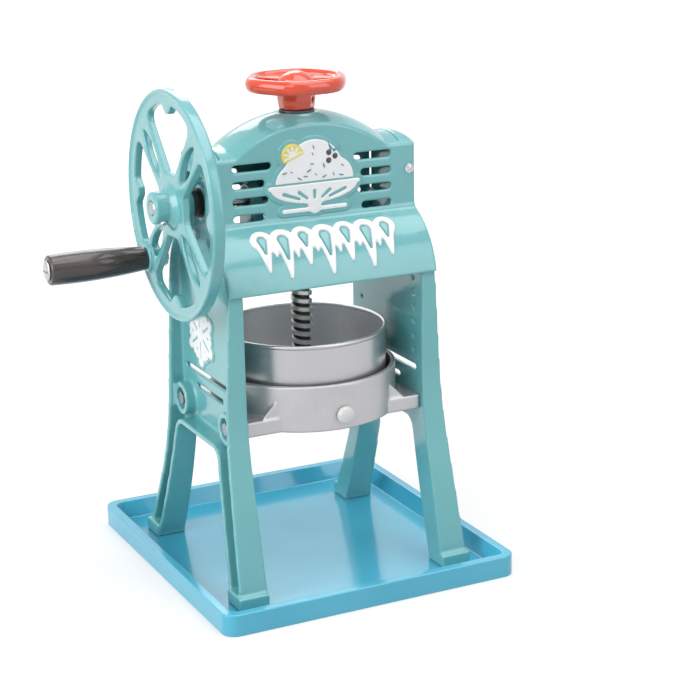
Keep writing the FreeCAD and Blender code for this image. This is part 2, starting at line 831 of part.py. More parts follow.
def make_blade_ring():
    """Casting that bolts between the frames and holds the drum and blade."""
    low = ring_plate_z
    top = low + ring_plate
    inner = ring_radius - ring_wall
    half = frame_inner
    plate = box((-half, -ring_plate_half_depth, low), (half, ring_plate_half_depth, top))
    uprights = [e for e in plate.Edges if e.BoundBox.ZLength > ring_plate - 0.1]
    plate = plate.makeFillet(2.0, uprights)
    wall = cylinder(ring_radius, ring_top_z - low, Vector(0, 0, low))
    wall = wall.makeFillet(0.8, [e for e in wall.Edges if e.BoundBox.ZMin > ring_top_z - 0.01])
    gussets = [ring_gusset(sx, sy) for sx in (-1, 1) for sy in (-1, 1)]
    casting = join([plate, wall] + gussets)
    casting = casting.cut(cylinder(inner, FAR, Vector(0, 0, low + ring_floor)))
    casting = join([casting] + [drum_tab(angle) for angle in guide_tab_angles])
    slot = box((blade_slot_start, -blade_slot_front, low - 1.0),
               (blade_slot_start + blade_slot_length, blade_slot_rear, low + ring_floor + 1.0))
    cuts = [slot]
    for sx in (-1, 1):
        for sy in (-1, 1):
            base = Vector(sx * (half + 1.0), sy * flange_bolt_y, low + ring_plate / 2)
            depth = flange_bolt_length - (bolt_seat_x - half) + 2.0
            cuts.append(cylinder(flange_bolt_radius + fit_gap, depth, base, X * -sx))
    for x, y in blade_screw_places():
        cuts.append(cylinder(blade_screw_radius + fit_gap, blade_screw_depth, Vector(x, y, low), Z))
    stud_start = Vector(0, -ring_radius - 1.0, knob_z())
    cuts.append(cylinder(knob_stud_radius + running, ring_wall + 2.0, stud_start, Y))
    return casting.cut(join(cuts))


def ring_gusset(sx, sy):
    """Small upright rib where the ring meets its side flange."""
    low = ring_plate_z + ring_plate - 1.0
    reach = math.sqrt(ring_radius ** 2 - (ring_plate_half_depth - gusset_rib) ** 2)
    inner = sx * (reach - 2 * gusset_rib)
    y_low = sy * (ring_plate_half_depth - gusset_rib) - gusset_rib / 2
    corners = [Vector(inner, y_low, low),
               Vector(sx * (reach + gusset), y_low, low),
               Vector(inner, y_low, ring_top_z - 2 * gusset_rib)]
    return prism(polygon(corners), Y * gusset_rib)


def drum_tab(angle):
    """Rounded guide tab inside the ring, standing over its edge."""
    inner = ring_radius - ring_wall
    thickness = inner - drum_radius - seat_gap
    low = ring_plate_z + ring_floor
    high = ring_top_z + guide_tab
    half = guide_tab_width / 2
    shape = outline([line(Vector(0, -half, low), Vector(0, half, low)),
                     line(Vector(0, half, low), Vector(0, half, high - half)),
                     arc(Vector(0, half, high - half), Vector(0, 0, high),
                         Vector(0, -half, high - half)),
                     line(Vector(0, -half, high - half), Vector(0, -half, low))])
    tab = prism(shape, X * ring_radius)
    shell = tube(inner + 0.6, inner - thickness, high, Vector(0, 0, 0))
    return turned(tab.common(shell), angle)


def make_drum():
    """Spun cylinder with a rolled rim, open above and below."""
    low = ring_plate_z + ring_floor
    top = drum_top_z - drum_bead
    foot = drum_radius - drum_taper - seat_gap
    head = drum_radius - drum_bead * 0.6
    wall = drum_wall
    section = outline([line(Vector(foot, 0, low), Vector(head, 0, top)),
                       line(Vector(head, 0, top), Vector(head - wall, 0, top)),
                       line(Vector(head - wall, 0, top), Vector(foot - wall, 0, low)),
                       line(Vector(foot - wall, 0, low), Vector(foot, 0, low))])
    shell = revolved(section, Vector(0, 0, 0), Z)
    bead = Part.makeTorus(drum_radius - drum_bead, drum_bead, Vector(0, 0, top), Z)
    return join([shell, bead])


# ==================================================== blade under the ring


def blade_screw_places():
    """Centres of the screws through the clamp, the blade and into the ring."""
    middle = blade_slot_start + blade_slot_length / 2
    y = blade_edge_y + blade_width - clamp_width / 2
    return [(middle + side * blade_screw_spread / 2, y) for side in (-1, 1)]


def make_blade():
    """Steel strip under the ring whose bent-up front edge stands in the slot."""
    low = ring_plate_z
    start = blade_slot_start + blade_end_gap
    back = blade_edge_y + blade_width
    section = [Vector(start, blade_edge_y, low + ring_floor + blade_lift),
               Vector(start, blade_edge_y + blade_thickness * 0.9, low),
               Vector(start, back, low), Vector(start, back, low - blade_thickness),
               Vector(start, blade_edge_y + blade_thickness * 0.4, low - blade_thickness)]
    blade = prism(polygon(section), X * (blade_slot_length - 2 * blade_end_gap))
    return blade.cut(join(blade_screw_holes()))


def blade_screw_holes():
    low = ring_plate_z - blade_thickness - clamp_thickness - 1.0
    return [cylinder(blade_screw_radius + fit_gap, ring_plate_z - low, Vector(x, y, low))
            for x, y in blade_screw_places()]


def make_clamp():
    """Bar that presses the blade up against the ring."""
    high = ring_plate_z - blade_thickness
    low = high - clamp_thickness
    back = blade_edge_y + blade_width
    start = blade_slot_start + blade_end_gap
    clamp = box((start, back - clamp_width, low),
                (start + blade_slot_length - 2 * blade_end_gap, back, high))
    clamp = clamp.makeFillet(1.0, [e for e in clamp.Edges if e.BoundBox.ZMax < low + 0.01])
    return clamp.cut(join(blade_screw_holes()))


def make_blade_screws():
    low = ring_plate_z - blade_thickness - clamp_thickness
    screws = []
    for x, y in blade_screw_places():
        head = pan_head(blade_screw_head, blade_screw_head_height, Vector(x, y, low), -Z)
        length = ring_plate_z + blade_screw_depth - low - fit_gap
        screws.append(join([head, cylinder(blade_screw_radius, length, Vector(x, y, low))]))
    return Part.Compound(screws)


def knob_z():
    return ring_plate_z + knob_height


def make_knob():
    """White clamp knob on the ring's front, on its own steel stud."""
    face = Vector(0, -ring_radius - seat_gap, knob_z())
    wire = outline([line(Vector(0, 0, 0), Vector(knob_radius * 0.92, 0, 0)),
                    arc(Vector(knob_radius * 0.92, 0, 0), Vector(knob_radius, 0, knob_length * 0.4),
                        Vector(knob_radius * 0.9, 0, knob_length * 0.8)),
                    dome_arc(knob_radius * 0.9, knob_length * 0.8, knob_length),
                    line(Vector(0, 0, knob_length), Vector(0, 0, 0))])
    knob = revolved(wire, Vector(0, 0, 0), Z)
    knob.Placement = FreeCAD.Placement(face, FreeCAD.Rotation(Z, -Y))
    stud = cylinder(knob_stud_radius, ring_wall + seat_gap + 2.0, face, Y)
    return knob, stud


# ============================================================= bolts, bushes


def make_flange_bolts():
    """Four hexagon bolts that hold the blade ring between the frames."""
    bolts = []
    for sx in (-1, 1):
        for sy in (-1, 1):
            z = ring_plate_z + ring_plate / 2
            base = Vector(sx * bolt_seat_x, sy * flange_bolt_y, z)
            shank = cylinder(flange_bolt_radius, flange_bolt_length, base, X * -sx)
            head = hexagon(flange_bolt_head, flange_bolt_head_height, base, X * sx)
            bolts.append(join([head, shank]))
    return Part.Compound(bolts)


def make_bridge_bolts():
    bolts = []
    for sx in (-1, 1):
        for sy in (-1, 1):
            base = Vector(sx * (frame_inner + web), sy * bridge_bolt_y, bridge_bolt_z)
            shank = cylinder(bridge_bolt_radius, web + bridge_flange, base, X * -sx)
            head = hexagon(bridge_bolt_head, bridge_bolt_head_height, base, X * sx)
            bolts.append(join([head, shank]))
    return Part.Compound(bolts)


def gear_back_z():
    """Height of the gear's flat back, which rides on the thrust washer."""
    return shaft_z - bevel_depth(gear_teeth, pinion_teeth)


def bearing_inner_x():
    """Face of the inner bearing, just behind the pinion's hub."""
    return bevel_depth(pinion_teeth, gear_teeth) + pinion_hub_length + seat_gap


def make_bridge():
    """Cross casting that carries the gear's hub and the inner shaft bearing."""
    plate_low = bridge_plate_z
    boss_top = gear_back_z() - thrust_washer
    boss_low = boss_top - bridge_boss_height
    half = frame_inner
    pieces = [box((-half, -bridge_half_depth, plate_low),
                  (half, bridge_half_depth, plate_low + bridge_plate)),
              cylinder(bridge_boss_radius, bridge_boss_height, Vector(0, 0, boss_low))]
    for sx in (-1, 1):
        flange = box((half - bridge_flange, -bridge_half_depth, plate_low),
                     (half, bridge_half_depth, plate_low + bridge_flange_height))
        if sx < 0:
            flange = mirror_x(flange)
        pieces.append(flange)
        for sy in (-1, 1):
            y = sy * (bridge_half_depth - bridge_rib / 2)
            rib_low = plate_low + bridge_plate - 0.5
            corners = [Vector(sx * half, y - bridge_rib / 2, rib_low),
                       Vector(sx * (half - bridge_rib_reach), y - bridge_rib / 2, rib_low),
                       Vector(sx * (half - bridge_flange), y - bridge_rib / 2,
                              plate_low + bridge_flange_height)]
            pieces.append(prism(polygon(corners), Y * bridge_rib))
    x = -bearing_inner_x() - bearing_thickness
    foot = bearing_foot
    upright = outline([line(Vector(x, -foot, plate_low), Vector(x, foot, plate_low)),
                       line(Vector(x, foot, plate_low), Vector(x, bearing_radius, shaft_z)),
                       arc(Vector(x, bearing_radius, shaft_z), Vector(x, 0, shaft_z + bearing_radius),
                           Vector(x, -bearing_radius, shaft_z)),
                       line(Vector(x, -bearing_radius, shaft_z), Vector(x, -foot, plate_low))])
    pieces.append(prism(upright, X * bearing_thickness))
    casting = join(pieces)
    cuts = [cylinder(gear_hub_radius + running + bush_wall, FAR, Vector(0, 0, boss_low - 1.0)),
            cylinder(shaft_radius + running + bush_wall, bearing_thickness + 2.0,
                     Vector(x - 1.0, 0, shaft_z), X)]
    for sx in (-1, 1):
        for sy in (-1, 1):
            base = Vector(sx * (half + 1.0), sy * bridge_bolt_y, bridge_bolt_z)
            cuts.append(cylinder(bridge_bolt_radius + fit_gap, bridge_flange + 2.0, base, X * -sx))
    return casting.cut(join(cuts))


def make_gear_bush():
    boss_top = gear_back_z() - thrust_washer
    inner = gear_hub_radius + running
    return tube(inner + bush_wall, inner, bridge_boss_height,
                Vector(0, 0, boss_top - bridge_boss_height))


def make_thrust_washer():
    return tube(bridge_boss_radius - 1.0, gear_hub_radius + running, thrust_washer - seat_gap,
                Vector(0, 0, gear_back_z() - thrust_washer))


def make_outer_bush():
    """Flanged bush of the crank shaft in the left frame."""
    inner = shaft_radius + running
    outer_x = frame_inner + web + crank_boss
    body = tube(inner + bush_wall, inner, web + crank_boss, Vector(-frame_inner, 0, shaft_z), X * -1)
    flange = tube(inner + bush_wall + bush_flange, inner, bush_flange_thickness,
                  Vector(-outer_x, 0, shaft_z), X * -1)
    return join([body, flange])


def make_inner_bush():
    inner = shaft_radius + running
    x = -bearing_inner_x() - bearing_thickness
    return tube(inner + bush_wall, inner, bearing_thickness, Vector(x, 0, shaft_z), X)


# ============================================================= bevel gearing


def tooth_wire(teeth, angle, scale):
    """Cross section of one tooth on the back cone, as a flat wire.

    The flanks are involutes of the virtual spur gear that unrolls from the back
    cone; x is measured outward from the pitch cone and y round the gear."""
    module = gear_module * scale
    pitch = module * teeth / math.cos(angle) / 2
    base = pitch * math.cos(math.radians(pressure_angle))
    tip = pitch + tooth_top * module
    root = pitch - tooth_root * module
    pressure = math.radians(pressure_angle)
    half_pitch = (math.pi * module / 2 - tooth_backlash * scale) / (2 * pitch)

    def flank(radius):
        roll = math.acos(base / radius)
        return half_pitch + math.tan(pressure) - pressure - math.tan(roll) + roll

    def at(radius, turn):
        return Vector(radius * math.cos(turn) - pitch, radius * math.sin(turn), 0)

    low = max(base, root)
    radii = [low + (tip - low) * k / flank_steps for k in range(flank_steps + 1)]
    right = [at(radius, flank(radius)) for radius in radii]
    left = [Vector(point.x, -point.y, 0) for point in right]
    flanks = []
    for points in (right, left):
        curve = Part.BSplineCurve()
        curve.interpolate(points)
        flanks.append(curve.toShape())
    foot_right = at(root, flank(low))
    foot_left = Vector(foot_right.x, -foot_right.y, 0)
    edges = flanks + [line(right[-1], left[-1]), line(foot_left, foot_right)]
    if root < base:
        edges += [line(foot_right, right[0]), line(left[0], foot_left)]
    return outline(edges)


def place_on_cone(wire, angle, distance):
    """Stand a tooth section across the pitch cone's line, apex at the origin.

    The gear's axis is Z and its teeth point away from it; the section's x goes
    outward along the back cone and its y round the gear."""
    along = Vector(math.sin(angle), 0, -math.cos(angle))
    outward = Vector(math.cos(angle), 0, math.sin(angle))
    origin = along * distance
    matrix = FreeCAD.Matrix(outward.x, 0, along.x, origin.x,
                            outward.y, 1, along.y, origin.y,
                            outward.z, 0, along.z, origin.z,
                            0, 0, 0, 1)
    return wire.copy().transformGeometry(matrix)


def cone_angle_of(teeth, mate_teeth):
    return math.atan2(teeth, mate_teeth)


def cone_distance(teeth, mate_teeth):
    return gear_module * teeth / (2 * math.sin(cone_angle_of(teeth, mate_teeth)))


def bevel_depth(teeth, mate_teeth):
    """Distance from the apex to a bevel wheel's flat back."""
    angle = cone_angle_of(teeth, mate_teeth)
    root = dedendum_factor * gear_module
    return math.cos(angle) * cone_distance(teeth, mate_teeth) + math.sin(angle) * root + gear_back


def bevel_wheel(teeth, mate_teeth, bore, hub_radius, hub_length, phase):
    """Straight bevel gear, apex at the origin, its back facing -Z."""
    angle = cone_angle_of(teeth, mate_teeth)
    distance = cone_distance(teeth, mate_teeth)
    inner = distance - face_width
    shrink = inner / distance
    root = dedendum_factor * gear_module
    along = Vector(math.sin(angle), 0, -math.cos(angle))
    outward = Vector(math.cos(angle), 0, math.sin(angle))
    heel_tip = along * distance + outward * gear_module
    toe_tip = along * inner + outward * gear_module * shrink
    heel_root = along * distance - outward * root
    toe_root = along * inner - outward * root * shrink
    back_z = -bevel_depth(teeth, mate_teeth)
    # The blank ends at the root cone; the tooth ring lies on top of it.
    blank = polygon([Vector(bore, 0, toe_root.z), toe_root, heel_root,
                     Vector(heel_root.x, 0, back_z), Vector(bore, 0, back_z)])
    body = revolved(blank, Vector(0, 0, 0), Z)
    hub = tube(hub_radius, bore, hub_length, Vector(0, 0, back_z - hub_length))
    sections = []
    for scale in (overrun, shrink / overrun):
        wire = tooth_wire(teeth, angle, scale)
        sections.append(place_on_cone(wire, angle, distance * scale))
    tooth = Part.makeLoft(sections, True, True)
    ring = revolved(polygon([toe_root, toe_tip, heel_tip, heel_root]), Vector(0, 0, 0), Z)
    tooth = tooth.common(ring)
    teeth_ring = [turned(tooth, phase + 360.0 * k / teeth) for k in range(teeth)]
    return join([body, hub] + teeth_ring)


def make_gear():
    """Bevel gear whose long hub runs down through the bridge."""
    hub_length = thrust_washer + bridge_boss_height + seat_gap + retainer_height + gear_hub_tail
    wheel = bevel_wheel(gear_teeth, pinion_teeth, screw_radius + running, gear_hub_radius,
                        hub_length, 180.0 + 180.0 / gear_teeth)
    return moved(wheel, Z * shaft_z)


def make_pinion():
    wheel = bevel_wheel(pinion_teeth, gear_teeth, shaft_radius + fit_gap, pinion_hub_radius,
                        pinion_hub_length, 0.0)
    wheel.rotate(Vector(0, 0, 0), Y, 90)
    return moved(wheel, Z * shaft_z)


def make_retainer():
    """Collar under the bridge that keeps the gear down on its seat."""
    boss_low = gear_back_z() - thrust_washer - bridge_boss_height
    return tube(retainer_radius, gear_hub_radius + fit_gap / 2, retainer_height,
                Vector(0, 0, boss_low - seat_gap - retainer_height))


# =============================================================== crank wheel


def heart_opening():
    """Heart-shaped hole between two spokes, its axis along +X."""
    rim_inner = wheel_radius - wheel_rim
    root_half = math.sqrt(0.5)

    def beside_spoke(reach, width):
        return Vector((reach + width) * root_half, (reach - width) * root_half, 0)

    def mirrored(point):
        return Vector(point.x, -point.y, 0)

    inner = Vector(heart_inner, heart_inner_half_width, 0)
    near = beside_spoke(heart_inner, spoke_hub_half_width)
    far = beside_spoke(wheel_radius, spoke_rim_half_width)
    slope = (far - near).normalize()
    behind = near.dot(slope)
    travel = math.sqrt(behind ** 2 - near.dot(near) + rim_inner ** 2) - behind
    lobe = near + slope * travel
    lobe_angle = math.degrees(math.atan2(lobe.y, lobe.x))
    base = Vector(*polar(rim_inner, cusp_base_angle), 0)
    middle = Vector(*polar(rim_inner, (lobe_angle + cusp_base_angle) / 2), 0)
    cusp = Vector(cusp_radius, cusp_half_width, 0)
    half = [line(inner, near), line(near, lobe), arc(lobe, middle, base), line(base, cusp)]
    other = [line(mirrored(inner), mirrored(near)), line(mirrored(near), mirrored(lobe)),
             arc(mirrored(lobe), mirrored(middle), mirrored(base)),
             line(mirrored(base), mirrored(cusp))]
    wire = outline(half + other + [line(inner, mirrored(inner)), line(cusp, mirrored(cusp))])
    hole = prism(wire, Z * (3 * wheel_width))

    def uprights(places):
        return [e for e in hole.Edges if e.BoundBox.ZLength > wheel_width
                and any((e.Vertexes[0].Point - p).Length < 0.01
                        or (e.Vertexes[1].Point - p).Length < 0.01 for p in places)]

    for radius, corner in ((heart_corner, lobe), (heart_inner_corner, near),
                           (cusp_corner, base), (cusp_corner, cusp)):
        hole = hole.makeFillet(radius, uprights([corner, mirrored(corner)]))
    return moved(hole, Z * -wheel_width)


def leaf_wire():
    """Almond slot along a spoke, its axis along +X."""
    middle = (leaf_inner + leaf_outer) / 2
    low = Vector(leaf_inner, 0, 0)
    high = Vector(leaf_outer, 0, 0)
    return outline([arc(low, Vector(middle, leaf_half_width, 0), high),
                    arc(low, Vector(middle, -leaf_half_width, 0), high)])


def make_crank_wheel():
    """Four-spoke cast wheel, built along +Z and then laid on the crank axis."""
    lip_inner = wheel_radius - wheel_lip
    low = 0.0
    high = wheel_width
    web_low = (wheel_width - wheel_web) / 2
    web_high = high - wheel_recess
    edge = wheel_edge
    section = polygon([Vector(0, 0, web_low), Vector(lip_inner - edge, 0, web_low),
                       Vector(lip_inner, 0, low + edge / 2), Vector(lip_inner + edge / 2, 0, low),
                       Vector(wheel_radius - edge, 0, low), Vector(wheel_radius, 0, low + edge),
                       Vector(wheel_radius, 0, high - edge), Vector(wheel_radius - edge, 0, high),
                       Vector(lip_inner + edge / 2, 0, high), Vector(lip_inner, 0, high - edge / 2),
                       Vector(lip_inner - edge, 0, web_high), Vector(0, 0, web_high)])
    disc = revolved(section, Vector(0, 0, 0), Z)
    heart = heart_opening()
    leaf = prism(leaf_wire(), Z * FAR)
    openings = [turned(heart, 90.0 * k + wheel_turn) for k in range(4)]
    openings += [turned(leaf, 90.0 * k + 45.0 + wheel_turn) for k in range(4)]
    disc = disc.cut(openings)
    hub_high = wheel_hub_face_x - wheel_face_x + wheel_width
    hub_low = -(wheel_face_x - wheel_width - wheel_hub_back_x)
    front_hub = cylinder(wheel_hub_radius, hub_high - web_low, Vector(0, 0, web_low))
    rim = [e for e in front_hub.Edges if e.BoundBox.ZMin > hub_high - 0.01]
    front_hub = front_hub.makeFillet(1.0, rim)
    rear_hub = Part.makeCone(wheel_hub_radius, wheel_hub_radius + wheel_hub_spread,
                             web_low - hub_low + 1.0, Vector(0, 0, hub_low), Z)
    reach, height = wheel_hub_cove
    cove = Part.makeCone(wheel_hub_radius + reach, wheel_hub_radius, height, Vector(0, 0, web_high), Z)
    hub = join([front_hub, rear_hub, cove])
    throw = handle_place()
    reach, height = handle_boss_cove
    boss_foot = Part.makeCone(handle_boss_radius + reach, handle_boss_radius, height,
                              throw + Z * web_high, Z)
    boss_body = cylinder(handle_boss_radius, high + handle_boss - web_low, throw + Z * web_low)
    boss = join([boss_body, boss_foot])
    wheel = join([disc, hub, boss])
    cuts = [cylinder(shaft_radius + fit_gap / 2, FAR, Vector(0, 0, -FAR / 2)),
            cylinder(handle_bolt_radius + fit_gap, FAR, throw - Z * 50.0),
            hub_screw_solid(fit_gap), hub_screw_seat()]
    return lay_on_crank(wheel.cut(join(cuts)))


def handle_place():
    """Centre of the handle on the wheel, in the wheel's own plane."""
    return Vector(*polar(crank_throw, 45.0 + wheel_turn), 0)


def hub_screw_solid(gap):
    """Radial hole or shank of the hub's set screw, in the wheel's own frame."""
    z = hub_screw_x - wheel_face_x + wheel_width
    direction = Vector(*polar(1.0, hub_screw_angle), 0)
    start = direction * shaft_radius + Z * z
    length = wheel_hub_radius - shaft_radius + 1.0
    return cylinder(hub_screw_radius * 0.7 + gap, length, start, direction)


def hub_screw_place():
    """Centre of the set screw's seat on the hub and the way it faces."""
    z = hub_screw_x - wheel_face_x + wheel_width
    direction = Vector(*polar(1.0, hub_screw_angle), 0)
    return direction * (wheel_hub_radius - hub_screw_sink) + Z * z, direction


def hub_screw_seat():
    """Spot face that the set screw's head sits in."""
    place, direction = hub_screw_place()
    return cylinder(hub_screw_radius + fit_gap, wheel_hub_radius, place, direction)


def lay_on_crank(shape):
    """Turn a shape built along +Z so that +Z becomes -X on the crank axis.

    The shape's own x becomes +Y and its y becomes +Z, seen from the left."""
    matrix = FreeCAD.Matrix(0, 0, -1, -(wheel_face_x - wheel_width),
                            1, 0, 0, 0,
                            0, -1, 0, shaft_z,
                            0, 0, 0, 1)
    copy = shape.copy()
    copy.Placement = FreeCAD.Placement(matrix).multiply(copy.Placement)
    return copy


def make_hub_screw():
    place, direction = hub_screw_place()
    head = pan_head(hub_screw_radius, hub_screw_head, place, direction)
    shank = hub_screw_solid(0.0).common(cylinder(wheel_hub_radius, FAR, Vector(0, 0, -FAR / 2)))
    return lay_on_crank(join([head, shank]))


def make_shaft():
    length = wheel_hub_face_x - shaft_inner_end
    shaft = cylinder(shaft_radius, length, Vector(-wheel_hub_face_x, 0, shaft_z), X)
    return shaft.makeChamfer(0.8, [e for e in shaft.Edges if e.BoundBox.XLength < 0.01])


def make_spacer():
    """Loose ring on the shaft between the wheel's hub and the outer bush."""
    outer_x = frame_inner + web + crank_boss + bush_flange_thickness + seat_gap
    return tube(shaft_radius + 3.5, shaft_radius + fit_gap / 2, wheel_hub_back_x - outer_x,
                Vector(-wheel_hub_back_x, 0, shaft_z), X)


def make_pinion_pin():
    """Cross pin that locks the pinion's hub to the shaft."""
    x = -(bevel_depth(pinion_teeth, gear_teeth) + pinion_hub_length / 2)
    return cylinder(pinion_pin_radius, 2 * pinion_hub_radius, Vector(x, 0, shaft_z - pinion_hub_radius))


# ==================================================================== handle


def handle_axis_base():
    """Point on the handle's axis at the face of its boss."""
    throw = handle_place()
    x = -(wheel_face_x + handle_boss)
    return Vector(x, throw.x, shaft_z - throw.y)


def make_grip():
    start = handle_axis_base() - X * seat_gap
    radii = (grip_near_radius, grip_middle_radius, grip_end_radius)
    length = grip_length
    inner = handle_bolt_radius + running
    edge = grip_edge
    side = Part.BSplineCurve()
    side.interpolate([Vector(radii[0], 0, edge),
                      Vector((radii[0] + radii[1]) / 2 + 0.5, 0, length * 0.33),
                      Vector(radii[1], 0, length * 0.7), Vector(radii[2], 0, length - edge)])
    turn = edge * 0.3
    wire = outline([line(Vector(inner, 0, 0), Vector(radii[0] - edge, 0, 0)),
                    arc(Vector(radii[0] - edge, 0, 0), Vector(radii[0] - turn, 0, turn),
                        Vector(radii[0], 0, edge)),
                    side.toShape(),
                    arc(Vector(radii[2], 0, length - edge), Vector(radii[2] - turn, 0, length - turn),
                        Vector(radii[2] - edge, 0, length)),
                    line(Vector(radii[2] - edge, 0, length), Vector(inner, 0, length)),
                    line(Vector(inner, 0, length), Vector(inner, 0, 0))])
    grip = revolved(wire, Vector(0, 0, 0), Z)
    grip.Placement = FreeCAD.Placement(start, FreeCAD.Rotation(Z, -X))
    return grip


def make_handle_bolt():
    """Bolt through the grip with a low slotted head on its outer end."""
    base = handle_axis_base()
    shank_start = base + X * (wheel_width + handle_boss)
    end = base - X * (grip_length + 2 * seat_gap)
    length = (shank_start - end).Length + handle_nut
    shank = cylinder(handle_bolt_radius, length, shank_start + X * handle_nut, X * -1)
    head = pan_head(handle_head_radius, handle_head, end, X * -1)
    half = handle_slot_half_width
    slot = box((end.x - handle_head - 1.0, end.y - FAR, end.z - half),
               (end.x - handle_head + handle_slot_depth, end.y + FAR, end.z + half))
    return join([shank, head]).cut(slot)


def make_handle_nut():
    base = handle_axis_base() + X * (wheel_width + handle_boss - (wheel_width - wheel_web) / 2)
    nut = hexagon(handle_nut_corner, handle_nut, base, X)
    return nut.cut(cylinder(handle_bolt_radius + fit_gap / 2, FAR, base - X * 10.0, X))


# =================================================================== spindle


def make_feed_screw():
    low = plate_z - plate_nut
    start = low + screw_tail
    screw = cylinder(screw_radius, hand_rim_z - start, Vector(0, 0, start))
    tail = cylinder(screw_radius * screw_tail_share, screw_tail, Vector(0, 0, low))
    return join([screw, tail])


def make_press_plate():
    """Round pressing plate with a hub for the spindle."""
    bore = screw_radius + fit_gap / 2
    top = plate_z + plate_thickness
    hub = plate_hub_radius
    hub_top = top + plate_hub_height
    foot, foot_middle = plate_hub_foot
    edge = plate_edge
    corners = [Vector(hub, 0, top + foot), Vector(hub, 0, hub_top), Vector(bore, 0, hub_top),
               Vector(bore, 0, plate_z), Vector(plate_radius - edge, 0, plate_z),
               Vector(plate_radius, 0, plate_z + edge), Vector(plate_radius, 0, top - edge),
               Vector(plate_radius - edge, 0, top), Vector(hub + foot, 0, top)]
    sides = [line(a, b) for a, b in zip(corners, corners[1:])]
    cove = arc(corners[-1], Vector(hub + foot_middle, 0, top + foot_middle), corners[0])
    return revolved(outline(sides + [cove]), Vector(0, 0, 0), Z)


def make_spikes():
    """Steel points under the plate that grip the block of ice."""
    spikes = []
    for circle, count in spike_rings:
        for k in range(count):
            place = Vector(*polar(circle, 360.0 * k / count + spike_start), plate_z)
            spikes.append(Part.makeCone(spike_radius, spike_tip, spike_length, place, Z * -1))
    return Part.Compound(spikes)


def make_plate_nut():
    low = plate_z - plate_nut
    nut = hexagon(screw_radius + plate_nut_wall, plate_nut, Vector(0, 0, low))
    return nut.cut(make_feed_screw())


def make_stop_washer():
    base = Vector(0, 0, seat_z + seat_gap)
    return tube(neck_base_radius + 1.0, screw_radius + running, stop_washer, base)


# ================================================================= handwheel


def make_handwheel():
    """Lobed three-spoke wheel with a domed hub over a faceted neck."""
    path_points = []
    for k in range(hand_rim_points):
        angle = 360.0 * k / hand_rim_points
        radius = hand_rim_radius + hand_rim_wave * math.cos(math.radians(hand_rim_lobes * angle))
        path_points.append(Vector(*polar(radius, angle), hand_rim_z))
    curve = Part.BSplineCurve()
    curve.interpolate(path_points, PeriodicFlag=True)
    path = Part.Wire(curve.toShape())
    start = path_points[0]
    section = Part.Ellipse(Vector(0, 0, 0), hand_rim_half_height, hand_rim_half_width).toShape()
    section = Part.Wire(section)
    placement = FreeCAD.Placement(start, FreeCAD.Rotation(Z, X, Y, "ZXY"))
    section.Placement = placement
    rim_solid = path.makePipeShell([section], True, False)
    spokes = [turned(hand_spoke(), angle) for angle in hand_spoke_angles]
    hub = handwheel_hub()
    wheel = join([rim_solid, hub] + spokes)
    cuts = [cylinder(screw_radius + fit_gap / 2, hand_rim_z - neck_z + 2.0, Vector(0, 0, neck_z - 2.0)),
            hand_screw_solid(fit_gap)]
    return wheel.cut(join(cuts))


def hand_spoke():
    """Broad spoke along +X that widens toward the rim."""
    low = hand_rim_z - hand_spoke_thickness / 2
    hub = hand_spoke_hub_width / 2
    wide = hand_spoke_rim_width / 2
    reach = hand_rim_radius - hand_rim_half_width * 0.2
    bend = reach * hand_spoke_bend
    waist = hub * hand_spoke_waist
    wire = outline([line(Vector(0, -hub, low), Vector(0, hub, low)),
                    arc(Vector(0, hub, low), Vector(bend, waist, low), Vector(reach, wide, low)),
                    line(Vector(reach, wide, low), Vector(reach, -wide, low)),
                    arc(Vector(reach, -wide, low), Vector(bend, -waist, low), Vector(0, -hub, low))])
    plate = prism(wire, Z * hand_spoke_thickness)
    return plate.common(cylinder(hand_rim_radius, FAR, Vector(0, 0, 0)))


def handwheel_hub():
    """Octagonal neck below the spokes and a low dome above them."""
    middle = hand_rim_z - hand_spoke_thickness / 2
    octagons = []
    for radius, z in ((neck_base_radius, neck_z), (neck_radius, neck_z + neck_foot),
                      (neck_radius, middle)):
        corners = [Vector(*polar(radius / math.cos(math.pi / 8), 45.0 * k + 22.5), z) for k in range(8)]
        octagons.append(polygon(corners))
    neck = Part.makeLoft(octagons, True, True)
    top = hand_rim_z + hand_spoke_thickness / 2
    dome = outline([line(Vector(0, 0, middle), Vector(hand_hub_radius, 0, middle)),
                    line(Vector(hand_hub_radius, 0, middle), Vector(hand_hub_radius, 0, top - 1.0)),
                    dome_arc(hand_hub_radius, top - 1.0, hand_dome_z),
                    line(Vector(0, 0, hand_dome_z), Vector(0, 0, middle))])
    return join([neck, revolved(dome, Vector(0, 0, 0), Z)])


def hand_screw_solid(gap):
    direction = Vector(*polar(1.0, hand_screw_angle), 0)
    start = direction * screw_radius + Z * hand_screw_z
    return cylinder(hand_screw_radius + gap, neck_radius - screw_radius + 3.0, start, direction)


def make_hand_screw():
    """Headless set screw, sunk a little in the neck."""
    depth = neck_radius - screw_radius - hand_screw_sink
    direction = Vector(*polar(1.0, hand_screw_angle), 0)
    start = direction * screw_radius + Z * hand_screw_z
    screw = cylinder(hand_screw_radius, depth, start, direction)
    socket = cylinder(hand_screw_radius * hand_socket_share, hand_socket_depth,
                      start + direction * (depth - hand_socket_depth), direction)
    return screw.cut(socket)


# ===================================================================== build


